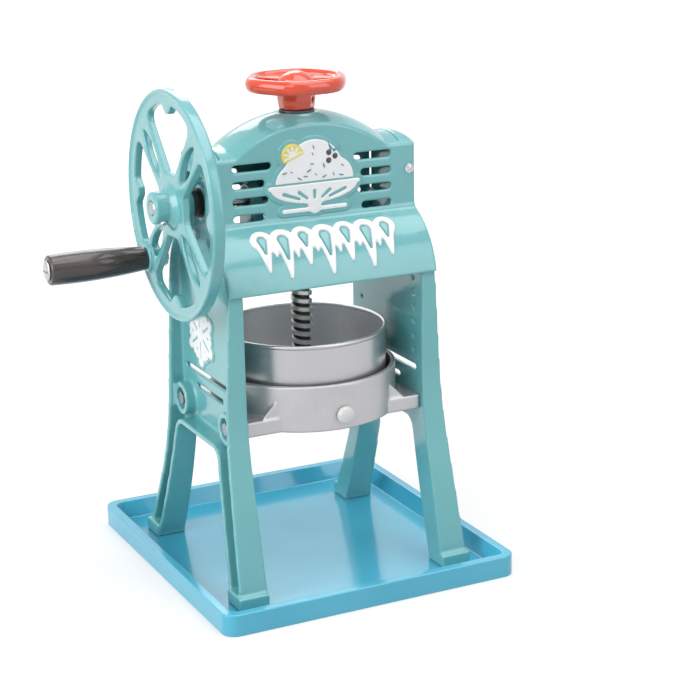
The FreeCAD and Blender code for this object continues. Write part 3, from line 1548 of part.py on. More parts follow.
def build():
    """Every sub-part, by the name a person would use for it."""
    right_frame = make_side_frame()
    left_frame = mirror_x(right_frame)
    bush_hole = cylinder(shaft_radius + running + bush_wall, web + crank_boss + 2.0,
                         Vector(-frame_inner + 1.0, 0, shaft_z), X * -1)
    left_frame = left_frame.cut(bush_hole)
    knob, knob_stud = make_knob()
    pin = make_pinion_pin()
    return {
        "drip_tray": make_tray(),
        "side_frame_left": left_frame,
        "side_frame_right": right_frame,
        "front_cover": make_cover(),
        "cover_screws": make_cover_screws(),
        "front_emblem": make_emblem(),
        "front_snow_drift": make_drift(),
        "side_crystal": make_crystal(),
        "blade_ring": make_blade_ring(),
        "ice_drum": make_drum(),
        "blade": make_blade(),
        "blade_clamp": make_clamp(),
        "blade_screws": make_blade_screws(),
        "clamp_knob": knob,
        "clamp_knob_stud": knob_stud,
        "flange_bolts": make_flange_bolts(),
        "gear_bridge": make_bridge(),
        "bridge_bolts": make_bridge_bolts(),
        "gear_bush": make_gear_bush(),
        "thrust_washer": make_thrust_washer(),
        "crank_bush_outer": make_outer_bush(),
        "crank_bush_inner": make_inner_bush(),
        "crank_wheel": make_crank_wheel(),
        "hub_set_screw": make_hub_screw(),
        "crank_shaft": make_shaft().cut(pin),
        "shaft_spacer": make_spacer(),
        "bevel_pinion": make_pinion().cut(pin),
        "pinion_pin": pin,
        "handle_bolt": make_handle_bolt(),
        "handle_nut": make_handle_nut(),
        "handle_grip": make_grip(),
        "bevel_gear": make_gear(),
        "gear_retainer": make_retainer(),
        "stop_washer": make_stop_washer(),
        "feed_screw": make_feed_screw(),
        "hand_wheel": make_handwheel(),
        "hand_wheel_set_screw": make_hand_screw(),
        "press_plate": make_press_plate(),
        "press_spikes": make_spikes(),
        "press_plate_nut": make_plate_nut(),
    }


os.makedirs("parts", exist_ok=True)
for name, shape in build().items():
    shape.exportStep("parts/" + name + ".step")
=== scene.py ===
"""Visual model of a hand cranked ice shaver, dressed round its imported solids."""

import logging
import math
from dataclasses import dataclass
from enum import Enum
from typing import Any, Callable, ClassVar, Mapping, Sequence

import bmesh
import bpy
import numpy as np
from mathutils import Matrix, Vector
from mathutils.bvhtree import BVHTree


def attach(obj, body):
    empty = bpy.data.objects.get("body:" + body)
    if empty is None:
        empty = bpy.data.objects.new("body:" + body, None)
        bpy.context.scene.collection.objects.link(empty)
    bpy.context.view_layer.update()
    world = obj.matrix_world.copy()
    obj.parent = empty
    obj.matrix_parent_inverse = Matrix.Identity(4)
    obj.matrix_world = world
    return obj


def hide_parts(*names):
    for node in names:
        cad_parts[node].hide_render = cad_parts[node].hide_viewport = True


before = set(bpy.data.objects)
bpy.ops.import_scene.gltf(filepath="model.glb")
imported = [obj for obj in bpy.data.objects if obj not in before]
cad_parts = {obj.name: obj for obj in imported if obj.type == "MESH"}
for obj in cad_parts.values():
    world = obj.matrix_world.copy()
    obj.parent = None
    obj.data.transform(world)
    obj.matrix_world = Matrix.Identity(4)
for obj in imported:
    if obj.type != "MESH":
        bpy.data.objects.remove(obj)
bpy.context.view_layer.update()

LOG = logging.getLogger("ice_shaver")
MM = 0.001

Colour = tuple[float, float, float]
Place = tuple[float, float, float]


def srgb(red: int, green: int, blue: int) -> Colour:
    """Linear colour of an 8-bit screen colour.

    Args:
        red: Red, 0 to 255.
        green: Green, 0 to 255.
        blue: Blue, 0 to 255.

    Returns:
        The three linear values.
    """
    def linear(value: int) -> float:
        """One channel."""
        share = value / 255
        return share / 12.92 if share <= 0.04045 else ((share + 0.055) / 1.055) ** 2.4
    return (linear(red), linear(green), linear(blue))


# -------------------------------------------------------------------------- node trees

class Value:
    """A node's output that takes part in arithmetic. Each step adds a Math node."""

    def __init__(self, graph: "Nodes", socket: bpy.types.NodeSocket) -> None:
        """Wraps a socket of a graph."""
        self.graph = graph
        self.socket = socket

    def __add__(self, other: "Number") -> "Value":
        """Sum."""
        return self.graph.math("ADD", self, other)

    def __radd__(self, other: "Number") -> "Value":
        """Sum, reflected."""
        return self.graph.math("ADD", other, self)

    def __sub__(self, other: "Number") -> "Value":
        """Difference."""
        return self.graph.math("SUBTRACT", self, other)

    def __rsub__(self, other: "Number") -> "Value":
        """Difference, reflected."""
        return self.graph.math("SUBTRACT", other, self)

    def __mul__(self, other: "Number") -> "Value":
        """Product."""
        return self.graph.math("MULTIPLY", self, other)

    def __rmul__(self, other: "Number") -> "Value":
        """Product, reflected."""
        return self.graph.math("MULTIPLY", other, self)

    def __truediv__(self, other: "Number") -> "Value":
        """Quotient."""
        return self.graph.math("DIVIDE", self, other)

    def __pow__(self, other: "Number") -> "Value":
        """Power."""
        return self.graph.math("POWER", self, other)

    def step(self, low: float, high: float) -> "Value":
        """A smooth rise between two values.

        Args:
            low: The value where it is 0.
            high: The value where it is 1.

        Returns:
            The share from 0 to 1.
        """
        return self.graph.add(
            "ShaderNodeMapRange",
            {"interpolation_type": "SMOOTHSTEP"},
            {"Value": self, "From Min": low, "From Max": high},
        )


Number = float | Value


class Nodes:
    """A node tree that is written as expressions."""

    def __init__(self, tree: bpy.types.NodeTree) -> None:
        """Takes up a tree."""
        self.tree = tree

    def feed(self, socket: bpy.types.NodeSocket, value: Any) -> None:
        """Gives a socket a link or a constant.

        Args:
            socket: The input socket.
            value: A Value, several in a list, a number, a vector or a colour.
        """
        if isinstance(value, list):
            for item in reversed(value):
                self.tree.links.new(item.socket, socket)
        elif isinstance(value, Value):
            self.tree.links.new(value.socket, socket)
        elif socket.type == "RGBA" and len(value) == 3:
            socket.default_value = (*value, 1.0)
        else:
            socket.default_value = value

    def add(
        self,
        kind: str,
        settings: Mapping[str, Any],
        sockets: Mapping[str | int, Any],
        out: str | int = 0,
    ) -> Value:
        """Adds any node.

        Args:
            kind: The node's type.
            settings: Properties that are set first.
            sockets: Values or links of the inputs.
            out: The output that is wanted.

        Returns:
            The wanted output.
        """
        node = self.tree.nodes.new(kind)
        for key, value in settings.items():
            setattr(node, key, value)
        for key, value in sockets.items():
            self.feed(node.inputs[key], value)
        return Value(self, node.outputs[out])

    def math(self, operation: str, first: Number, second: Number) -> Value:
        """Adds a Math node."""
        return self.add("ShaderNodeMath", {"operation": operation}, {0: first, 1: second})

    def axes(self, vector: Value) -> tuple[Value, Value, Value]:
        """The X, Y and Z of a vector."""
        split = self.add("ShaderNodeSeparateXYZ", {}, {"Vector": vector})
        return tuple(Value(self, socket) for socket in split.socket.node.outputs)

    def join(self, x: Number, y: Number, z: Number) -> Value:
        """A vector from three numbers."""
        return self.add("ShaderNodeCombineXYZ", {}, {0: x, 1: y, 2: z})


class Graph(Nodes):
    """The node tree of one material, with a Principled shader at its end."""

    def __init__(self, name: str) -> None:
        """Makes an empty material.

        Args:
            name: The material's name.
        """
        self.material = bpy.data.materials.new(name)
        self.material.use_nodes = True
        super().__init__(self.material.node_tree)
        self.tree.nodes.clear()
        self.shader = self.tree.nodes.new("ShaderNodeBsdfPrincipled")
        output = self.tree.nodes.new("ShaderNodeOutputMaterial")
        self.tree.links.new(self.shader.outputs[0], output.inputs[0])

    def position(self, stretch: Sequence[float] = (1, 1, 1)) -> Value:
        """Object coordinates.

        Args:
            stretch: What they are multiplied by along each axis.

        Returns:
            The vector.
        """
        place = self.add("ShaderNodeTexCoord", {}, {}, "Object")
        return self.add(
            "ShaderNodeMapping", {"vector_type": "POINT"}, {"Vector": place, "Scale": stretch}
        )

    def noise(self, vector: Value, scale: float, detail: float = 2, rough: float = 0.5) -> Value:
        """Adds a noise.

        Args:
            vector: Where it is read.
            scale: Its scale, for each metre.
            detail: Its octaves.
            rough: Its roughness.

        Returns:
            Values from 0 to 1 round 0.5.
        """
        return self.add(
            "ShaderNodeTexNoise",
            {},
            {"Vector": vector, "Scale": scale, "Detail": detail, "Roughness": rough},
        )

    def blend(self, factor: Value, first: Any, second: Any) -> Value:
        """Mixes two colours.

        Args:
            factor: Share of the second one.
            first: The first colour.
            second: The second colour.

        Returns:
            The mixed colour.
        """
        return self.add(
            "ShaderNodeMix", {"data_type": "RGBA"}, {0: factor, 6: first, 7: second}, 2
        )

    def bump(self, height: Value, depth: float, under: Value | None = None) -> Value:
        """A normal from a height.

        Args:
            height: Height from 0 to 1.
            depth: Height in metres.
            under: A normal that this bump is added to.

        Returns:
            The normal.
        """
        sockets = {"Height": height, "Distance": depth, "Strength": 1.0}
        if under is not None:
            sockets["Normal"] = under
        return self.add("ShaderNodeBump", {}, sockets)

    def finish(self, **sockets: Any) -> bpy.types.Material:
        """Sets the shader's sockets.

        Args:
            **sockets: Their values, by their names with _ for each space.

        Returns:
            The finished material.
        """
        for name, value in sockets.items():
            self.feed(self.shader.inputs[name.replace("_", " ")], value)
        return self.material


# ---------------------------------------------------------------------------- finishes

class Finish:
    """A finish that makes its material once."""

    name: str
    made: ClassVar[dict["Finish", bpy.types.Material]] = {}

    def material(self) -> bpy.types.Material:
        """Makes the finish's material when it is first asked for.

        Returns:
            The material.
        """
        if self not in Finish.made:
            Finish.made[self] = self.build()
        return Finish.made[self]

    def build(self) -> bpy.types.Material:
        """Makes the material.

        Returns:
            The material.
        """
        raise NotImplementedError


@dataclass(frozen=True)
class Enamel(Finish):
    """Glossy enamel on a casting, paler along its edges: thin enamel there, and a painted
    highlight.
    """

    name: str
    colour: Colour
    shade: Colour
    # Colour of the proud edges: thin enamel, and a painted highlight.
    edge: Colour
    roughness: float = 0.2
    ripple_depth: float = 0.3 * MM
    grain_depth: float = 0.015 * MM

    def build(self) -> bpy.types.Material:
        """Makes the material.

        Returns:
            The material.
        """
        g = Graph(self.name)
        place = g.position()
        cloud = g.noise(place, 14, 3).step(0.3, 0.7)
        body = g.blend(cloud * 0.55, self.colour, self.shade)
        edge = g.add("ShaderNodeAttribute", {"attribute_name": "edge"}, {}, "Fac")
        # Paler on proud edges: partly thin enamel, partly a painted highlight.
        thin = edge.step(0.15, 0.9) * (0.5 + g.noise(place, 40, 2) * 0.5)
        colour = g.blend(thin * 0.6, body, self.edge)
        ripple = g.noise(place, 90, 2)
        grain = g.noise(place, 420, 2)
        rough = self.roughness + (cloud - 0.5) * 0.06 + (grain - 0.5) * 0.04
        return g.finish(
            Base_Color=colour, Roughness=rough,
            Normal=g.bump(grain, self.grain_depth, g.bump(ripple, self.ripple_depth)),
            Coat_Weight=0.6, Coat_Roughness=0.08, Coat_IOR=1.5,
        )


@dataclass(frozen=True)
class Plastic(Finish):
    """Moulded plastic with a faint ripple."""

    name: str
    colour: Colour
    shade: Colour
    roughness: float = 0.16
    scratches: float = 0.08
    ripple_depth: float = 0.12 * MM
    scratch_depth: float = 0.004 * MM

    def build(self) -> bpy.types.Material:
        """Makes the material.

        Returns:
            The material.
        """
        g = Graph(self.name)
        place = g.position()
        cloud = g.noise(place, 9, 2).step(0.3, 0.7)
        colour = g.blend(cloud, self.colour, self.shade)
        fine = g.noise(g.position((1, 14, 1)), 120, 3)
        under = g.bump(fine, self.scratch_depth)
        return g.finish(
            Base_Color=colour, Roughness=self.roughness + (fine - 0.5) * self.scratches,
            Normal=g.bump(g.noise(place, 45, 2), self.ripple_depth, under),
            Coat_Weight=0.3, Coat_Roughness=0.06,
        )


class Lay(Enum):
    """The direction of the fine lines that a tool leaves in metal."""

    TURNED = "turned about X"
    ALONG_X = "brushed along X"
    UPRIGHT = "brushed along Z"
    CAST = "sand cast, with no lines"


@dataclass(frozen=True)
class Metal(Finish):
    """Bare metal with tool marks."""

    name: str
    colour: Colour
    shade: Colour
    lay: Lay
    roughness: float = 0.3
    line_depth: float = 0.01 * MM
    pitch: float = 1500
    metallic: float = 1.0

    def lines(self, g: Graph) -> Value:
        """The tool marks' height.

        Args:
            g: The graph that gets the nodes.

        Returns:
            Height from 0 to 1.
        """
        if self.lay is Lay.CAST:
            return g.noise(g.position(), self.pitch * 0.5, 4, 0.6)
        if self.lay is Lay.ALONG_X:
            return g.noise(g.position((0.03, 1, 1)), self.pitch, 3)
        if self.lay is Lay.UPRIGHT:
            return g.noise(g.position((1, 1, 0.03)), self.pitch, 3)
        x, y, z = g.axes(g.position())
        return g.noise(g.join((z * z + y * y) ** 0.5, x, 0.0), self.pitch, 3)

    def build(self) -> bpy.types.Material:
        """Makes the material.

        Returns:
            The material.
        """
        g = Graph(self.name)
        lines = self.lines(g)
        cloud = g.noise(g.position(), 30, 3).step(0.3, 0.7)
        colour = g.blend(cloud * 0.5 + (lines - 0.5) * 0.5, self.colour, self.shade)
        rough = self.roughness + (lines - 0.5) * 0.18 + (cloud - 0.5) * 0.08
        return g.finish(
            Base_Color=colour, Roughness=rough, Metallic=self.metallic,
            Normal=g.bump(lines, self.line_depth),
        )


@dataclass(frozen=True)
class Spun(Finish):
    """Spun sheet, satin outside, with painted light inside a radius: a paler colour lifts the
    drum's shaded inside.
    """

    name: str
    outside: Colour
    inside: Colour
    radius: float
    fade: float = 0.2 * MM
    roughness: float = 0.32

    def build(self) -> bpy.types.Material:
        """Makes the material.

        Returns:
            The material.
        """
        g = Graph(self.name)
        x, y, z = g.axes(g.position())
        radius = (x * x + y * y) ** 0.5
        # Inside the radius the paler colour is painted light for the shade in the drum.
        outer = radius.step(self.radius - self.fade, self.radius + self.fade)
        lines = g.noise(g.join(radius, z, 0.0), 2600, 3)
        cloud = g.noise(g.position((1, 1, 0.3)), 26, 2).step(0.3, 0.7)
        rough = self.roughness + (lines - 0.5) * 0.12 + (cloud - 0.5) * 0.06
        return g.finish(
            Base_Color=g.blend(outer, self.inside, self.outside), Roughness=rough,
            Metallic=0.8, Normal=g.bump(lines, 0.003 * MM),
        )


@dataclass(frozen=True)
class Threaded(Finish):
    """Rolled thread: a bright crest over a root darkened with painted shade."""

    name: str
    crest: Colour
    root: Colour
    low: float
    high: float

    def build(self) -> bpy.types.Material:
        """Makes the material.

        Returns:
            The material.
        """
        g = Graph(self.name)
        x, y, z = g.axes(g.position())
        rise = ((x * x + y * y) ** 0.5).step(self.low, self.high)
        smear = g.noise(g.position((1, 1, 0.4)), 260, 3)
        # Darker towards the root: painted shade in the thread's grooves.
        colour = g.blend(rise * (0.72 + smear * 0.4), self.root, self.crest)
        rough = 0.5 - rise * 0.2 + (smear - 0.5) * 0.12
        return g.finish(
            Base_Color=colour, Roughness=rough, Metallic=0.6, Normal=g.bump(smear, 0.03 * MM)
        )


@dataclass(frozen=True)
class StainedWood(Finish):
    """Dark stained and varnished wood, its grain along X."""

    name: str
    colour: Colour
    shade: Colour

    def build(self) -> bpy.types.Material:
        """Makes the material.

        Returns:
            The material.
        """
        g = Graph(self.name)
        place = g.position((0.12, 1, 1))
        warp = g.noise(place, 60, 3)
        x, y, z = g.axes(g.position())
        rings = g.noise(g.join(x * 0.04, y + warp * 0.004, z + warp * 0.004), 700, 4, 0.6)
        pores = g.noise(g.position((0.05, 1, 1)), 2200, 2).step(0.56, 0.7)
        colour = g.blend(rings.step(0.35, 0.7), self.colour, self.shade)
        normal = g.bump(1 - pores, 0.08 * MM, g.bump(rings, 0.04 * MM))
        rough = 0.34 + (rings - 0.5) * 0.2 + pores * 0.2
        return g.finish(
            Base_Color=colour, Roughness=rough, Normal=normal,
            Coat_Weight=0.7, Coat_Roughness=0.1,
        )


# The third colour of each enamel is its edge colour: thin enamel and a painted highlight.
TEAL = Enamel("teal_enamel", srgb(104, 174, 178), srgb(92, 166, 170), srgb(176, 220, 222))
WHITE = Enamel("white_enamel", srgb(234, 236, 238), srgb(226, 229, 232), srgb(244, 246, 246))
RED = Enamel("red_enamel", srgb(218, 66, 26), srgb(206, 56, 20), srgb(240, 124, 88), 0.14)
YELLOW = Enamel("yellow_enamel", srgb(230, 212, 78), srgb(222, 200, 66), srgb(240, 228, 140))
BLACK = Enamel("black_enamel", srgb(44, 46, 50), srgb(32, 34, 38), srgb(70, 72, 76))
DEEP = Enamel("deep_teal_enamel", srgb(70, 140, 146), srgb(60, 130, 136), srgb(120, 180, 184))
TRAY = Plastic("tray_plastic", srgb(78, 178, 206), srgb(70, 170, 200))
KNOB = Plastic("knob_plastic", srgb(206, 206, 206), srgb(198, 198, 198), 0.34)
# The drum's paler inside colour is painted light for the shade in the drum.
SPUN = Spun("spun_aluminium", srgb(184, 184, 187), srgb(238, 238, 240), 58.1 * MM)
CAST = Metal(
    "cast_aluminium", srgb(188, 187, 189), srgb(174, 174, 177), Lay.UPRIGHT, 0.42, 0.03 * MM,
    1400, 0.7,
)
STEEL = Metal("blade_steel", srgb(200, 202, 204), srgb(180, 182, 184), Lay.ALONG_X, 0.22)
ZINC = Metal("zinc_steel", srgb(198, 202, 207), srgb(180, 184, 189), Lay.TURNED, 0.2)
DULL = Metal("dull_zinc", srgb(156, 164, 168), srgb(136, 144, 148), Lay.TURNED, 0.32)
SHAFT = Metal("ground_shaft", srgb(176, 176, 178), srgb(150, 150, 152), Lay.TURNED, 0.24)
GEAR = Metal("cut_steel", srgb(140, 140, 142), srgb(112, 112, 114), Lay.CAST, 0.36)
# Bronze darkened partly as painted shade, so that the crank's bushes read as a shaded bore.
BRONZE = Metal("bronze_darkened_as_shade", srgb(96, 80, 62), srgb(72, 60, 48), Lay.TURNED, 0.45)
# Dark steel that stands in for shade: a painted shadow line under the hub, and painted shade in the
# crank shaft's bore.
DARK_STEEL_AS_SHADE = Metal("dark_steel", srgb(92, 92, 94), srgb(66, 66, 68), Lay.TURNED, 0.4)
# The thread's dark root colour is painted shade in its grooves.
THREAD = Threaded("rolled_thread", srgb(214, 214, 210), srgb(56, 55, 54), 6.2 * MM, 7.3 * MM)
WOOD = StainedWood("dark_wood", srgb(60, 42, 39), srgb(34, 23, 22))


# ------------------------------------------------------------------------ mesh helpers

def add_object(name: str, mesh: bpy.types.Mesh) -> bpy.types.Object:
    """Links a new object that holds a mesh.

    Args:
        name: The object's name.
        mesh: The mesh that it holds.

    Returns:
        The object.
    """
    thing = bpy.data.objects.new(name, mesh)
    bpy.context.scene.collection.objects.link(thing)
    return thing


def smooth(mesh: bpy.types.Mesh, angle: float = 32.0) -> None:
    """Shades a mesh smooth, with creases past an angle in degrees."""
    mesh.shade_smooth()
    mesh.set_sharp_from_angle(angle=math.radians(angle))


def bake(thing: bpy.types.Object) -> None:
    """Replaces an object's mesh by its evaluated one and drops its modifiers.

    Args:
        thing: The object.
    """
    graph = bpy.context.evaluated_depsgraph_get()
    mesh = bpy.data.meshes.new_from_object(thing.evaluated_get(graph), depsgraph=graph)
    old = thing.data
    thing.modifiers.clear()
    thing.data = mesh
    bpy.data.meshes.remove(old)
    mesh.name = thing.name


def settle(
    thing: bpy.types.Object, body: str, finish: Finish | None,
    nodes: Sequence[str] = (),
) -> bpy.types.Object:
    """Gives a piece its finish, its body and the nodes that it stands for.

    Args:
        thing: The piece.
        body: The body that it rides on.
        finish: Its finish, or None where its slots are already filled.
        nodes: The nodes that it replaces.

    Returns:
        The piece.
    """
    if finish is not None:
        thing.data.materials.clear()
        thing.data.materials.append(finish.material())
    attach(thing, body)
    if nodes:
        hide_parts(*nodes)
    LOG.info("piece %s on %s: %d faces", thing.name, body, len(thing.data.polygons))
    return thing


def dress(node: str, finish: Finish) -> None:
    """Gives a node that stays in view its finish.

    Args:
        node: The node.
        finish: Its finish.
    """
    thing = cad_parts[node]
    thing.data.materials.clear()
    thing.data.materials.append(finish.material())
    LOG.info("node %s dressed in %s", node, finish.name)


def merged(node: str) -> bmesh.types.BMesh:
    """A merged copy of a node's mesh, with its flat faces made whole.

    Args:
        node: The node.

    Returns:
        The copy, which the caller frees.
    """
    work = bmesh.new()
    work.from_mesh(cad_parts[node].data)
    bmesh.ops.remove_doubles(work, verts=work.verts, dist=2e-6)
    bmesh.ops.dissolve_limit(
        work, angle_limit=math.radians(0.4), verts=work.verts, edges=work.edges,
        use_dissolve_boundaries=False,
    )
    return work


def softened(name: str, node: str, width: float) -> bpy.types.Object:
    """A copy of a node with its sharp edges rounded.

    Args:
        name: The new piece's name.
        node: The node that is copied.
        width: The rounding's width in metres.

    Returns:
        The new object.
    """
    work = merged(node)
    before = BVHTree.FromBMesh(work)
    edge = work.faces.layers.float.new("edge")
    limit = math.radians(32.0)
    sharp = [e for e in work.edges if len(e.link_faces) == 2 and e.calc_face_angle(0) > limit]
    made = bmesh.ops.bevel(
        work, geom=sharp, offset=width, offset_type="OFFSET", segments=2, profile=0.5,
        affect="EDGES", clamp_overlap=False, miter_outer="ARC", loop_slide=False,
    )
    for face in made["faces"]:
        face[edge] = 1.0
    # A corner that the rounding threw off the surface goes back onto it.
    for point in work.verts:
        near = before.find_nearest(point.co)[0]
        if (near - point.co).length > width * 0.45:
            point.co = near
    mesh = bpy.data.meshes.new(name)
    work.to_mesh(mesh)
    work.free()
    thing = add_object(name, mesh)
    smooth(mesh, 40)
    weight = thing.modifiers.new("weight", "WEIGHTED_NORMAL")
    weight.keep_sharp = True
    bake(thing)
    return thing


def mark_edges(thing: bpy.types.Object) -> None:
    """Stores how proud each point of a mesh stands, for the paler edges: thin enamel and a painted
    highlight.

    Args:
        thing: The object whose mesh gets the attribute "edge".
    """
    gain, least = 4, 0.3
    work = bmesh.new()
    work.from_mesh(thing.data)
    edge = work.verts.layers.float.new("edge")
    for point in work.verts:
        around = [e.other_vert(point).co for e in point.link_edges]
        if not around:
            continue
        rise = point.co - sum(around, Vector()) / len(around)
        reach = sum((p - point.co).length for p in around) / len(around)
        point[edge] = min(1.0, max(0.0, rise.dot(point.normal) / reach * gain - least))
    work.to_mesh(thing.data)
    work.free()


def cast_skin(name: str, node: str, grain: float) -> bpy.types.Object:
    """A copy of a node with every edge softened, as on a casting under enamel.

    Args:
        name: The new piece's name.
        node: The node that is copied.
        grain: Size of the cells that the form is rebuilt from, in metres.

    Returns:
        The new object.
    """
    work = merged(node)
    mesh = bpy.data.meshes.new(name)
    work.to_mesh(mesh)
    work.free()
    thing = add_object(name, mesh)
    cells = thing.modifiers.new("cells", "REMESH")
    cells.mode = "VOXEL"
    cells.voxel_size = grain
    soften = thing.modifiers.new("soften", "SMOOTH")
    soften.factor, soften.iterations = 0.5, 4
    thin = thing.modifiers.new("thin", "DECIMATE")
    thin.ratio = 0.4
    bake(thing)
    mark_edges(thing)
    thing.data.shade_smooth()
    return thing


# ---------------------------------------------------------------------- geometry trees

class Recipe(Nodes):
    """A Geometry Nodes tree with named inputs, which makes one plain mesh."""

    KINDS: ClassVar[dict[type, str]] = {float: "NodeSocketFloat", int: "NodeSocketInt"}

    def __init__(self, name: str, sizes: Mapping[str, Any]) -> None:
        """Makes an empty tree.

        Args:
            name: The tree's name.
            sizes: Its named inputs and their values.
        """
        super().__init__(bpy.data.node_groups.new(name, "GeometryNodeTree"))
        self.sizes = dict(sizes)
        face = self.tree.interface
        face.new_socket("Geometry", in_out="OUTPUT", socket_type="NodeSocketGeometry")
        face.new_socket("Geometry", in_out="INPUT", socket_type="NodeSocketGeometry")
        face.new_socket("Material", in_out="INPUT", socket_type="NodeSocketMaterial")
        for label, value in self.sizes.items():
            face.new_socket(label, in_out="INPUT", socket_type=self.KINDS[type(value)])
        self.entry = self.tree.nodes.new("NodeGroupInput")
        self.exit = self.tree.nodes.new("NodeGroupOutput")

    def given(self, label: str) -> Value:
        """One of the tree's inputs."""
        return Value(self, self.entry.outputs[label])

    def together(self, *shapes: Value) -> Value:
        """Several shapes as one."""
        return self.add("GeometryNodeJoinGeometry", {}, {0: list(shapes)})

    def moved(self, shape: Value, place: Any, turn: Any = (0.0, 0.0, 0.0)) -> Value:
        """Turns a shape about the origin and then moves it.

        Args:
            shape: The shape.
            place: Where its origin goes.
            turn: Its turn in radians about X, Y and Z.

        Returns:
            The moved shape.
        """
        return self.add(
            "GeometryNodeTransform", {},
            {"Geometry": shape, "Translation": place, "Rotation": turn},
        )

    def rod(self, radius: Number, depth: Number, sides: int = 24) -> Value:
        """An upright cylinder round the origin, with its ends filled.

        Args:
            radius: Its radius.
            depth: Its height.
            sides: Its number of sides.

        Returns:
            The cylinder.
        """
        return self.add(
            "GeometryNodeMeshCylinder", {"fill_type": "TRIANGLE_FAN"},
            {"Vertices": sides, "Side Segments": 1, "Radius": radius, "Depth": depth},
        )

    def make(
        self, name: str, shape: Value, finish: Finish, start: bpy.types.Mesh | None = None
    ) -> bpy.types.Object:
        """Ends the tree, runs it and keeps its result as a plain mesh.

        Args:
            name: The new piece's name.
            shape: The tree's last shape.
            finish: The finish that the piece gets.
            start: The mesh that goes into the tree.

        Returns:
            The new object.
        """
        real = self.add("GeometryNodeRealizeInstances", {}, {"Geometry": shape})
        dressed = self.add(
            "GeometryNodeSetMaterial", {}, {"Geometry": real, "Material": self.given("Material")}
        )
        self.feed(self.exit.inputs["Geometry"], dressed)
        thing = add_object(name, start or bpy.data.meshes.new(name))
        run = thing.modifiers.new("shape", "NODES")
        run.node_group = self.tree
        sockets = {
            item.name: item.identifier for item in self.tree.interface.items_tree
            if item.in_out == "INPUT"
        }
        run[sockets["Material"]] = finish.material()
        for label, value in self.sizes.items():
            run[sockets[label]] = value
        bake(thing)
        smooth(thing.data)
        return thing


def marks(name: str, places: Sequence[tuple[Vector, Vector]]) -> bpy.types.Mesh:
    """Points for a tree to stand its instances on.

    Args:
        name: The mesh's name.
        places: Each point and the way that its instance faces.

    Returns:
        A mesh of loose points with the attribute "axis".
    """
    mesh = bpy.data.meshes.new(name)
    mesh.from_pydata([place for place, axis in places], [], [])
    facing = mesh.attributes.new("axis", "FLOAT_VECTOR", "POINT")
    for item, (place, axis) in zip(facing.data, places):
        item.vector = axis
    return mesh


# ---------------------------------------------------------------------- sub-assemblies

class SubAssembly:
    """The steps that all sub-assemblies share. Its pieces ride on one body."""

    body: ClassVar[str] = "machine"

    def cast(self, name: str, node: str, finish: Finish, slot: str, grain: float) -> None:
        """Rebuilds a node as a casting with softened edges, and dresses it."""
        settle(cast_skin(name, node, grain), self.body, finish, [node])

    def crisp(self, name: str, node: str, finish: Finish, slot: str, width: float) -> None:
        """Copies a node with narrow roundings on its edges, and dresses it."""
        settle(softened(name, node, width), self.body, finish, [node])

    def build(self) -> None:
        """Builds and dresses every piece."""
        raise NotImplementedError


def islands(node: str) -> list[tuple[Vector, Vector]]:
    """Measures each separate solid of a node.

    Args:
        node: The node.

    Returns:
        Each solid's lowest and highest corners.
    """
    work = merged(node)
    left = set(work.verts)
    boxes = []
    while left:
        front = [left.pop()]
        found = []
        while front:
            point = front.pop()
            found.append(point.co.copy())
            for edge in point.link_edges:
                other = edge.other_vert(point)
                if other in left:
                    left.remove(other)
                    front.append(other)
        low = Vector([min(p[k] for p in found) for k in range(3)])
        high = Vector([max(p[k] for p in found) for k in range(3)])
        boxes.append((low, high))
    work.free()
    return boxes


def seats(node: str, facing: Vector, height: float) -> list[tuple[Vector, Vector]]:
    """Where the heads of a node's screws sit.

    Args:
        node: The node, one solid for each screw.
        facing: The way that the heads face, down one axis.
        height: The heads' height in metres.

    Returns:
        The foot of each head, and the way that it faces.
    """
    found = []
    for low, high in islands(node):
        place = (low + high) / 2
        for axis in range(3):
            if facing[axis]:
                place[axis] = low[axis] + height
        found.append((place, facing))
    return found


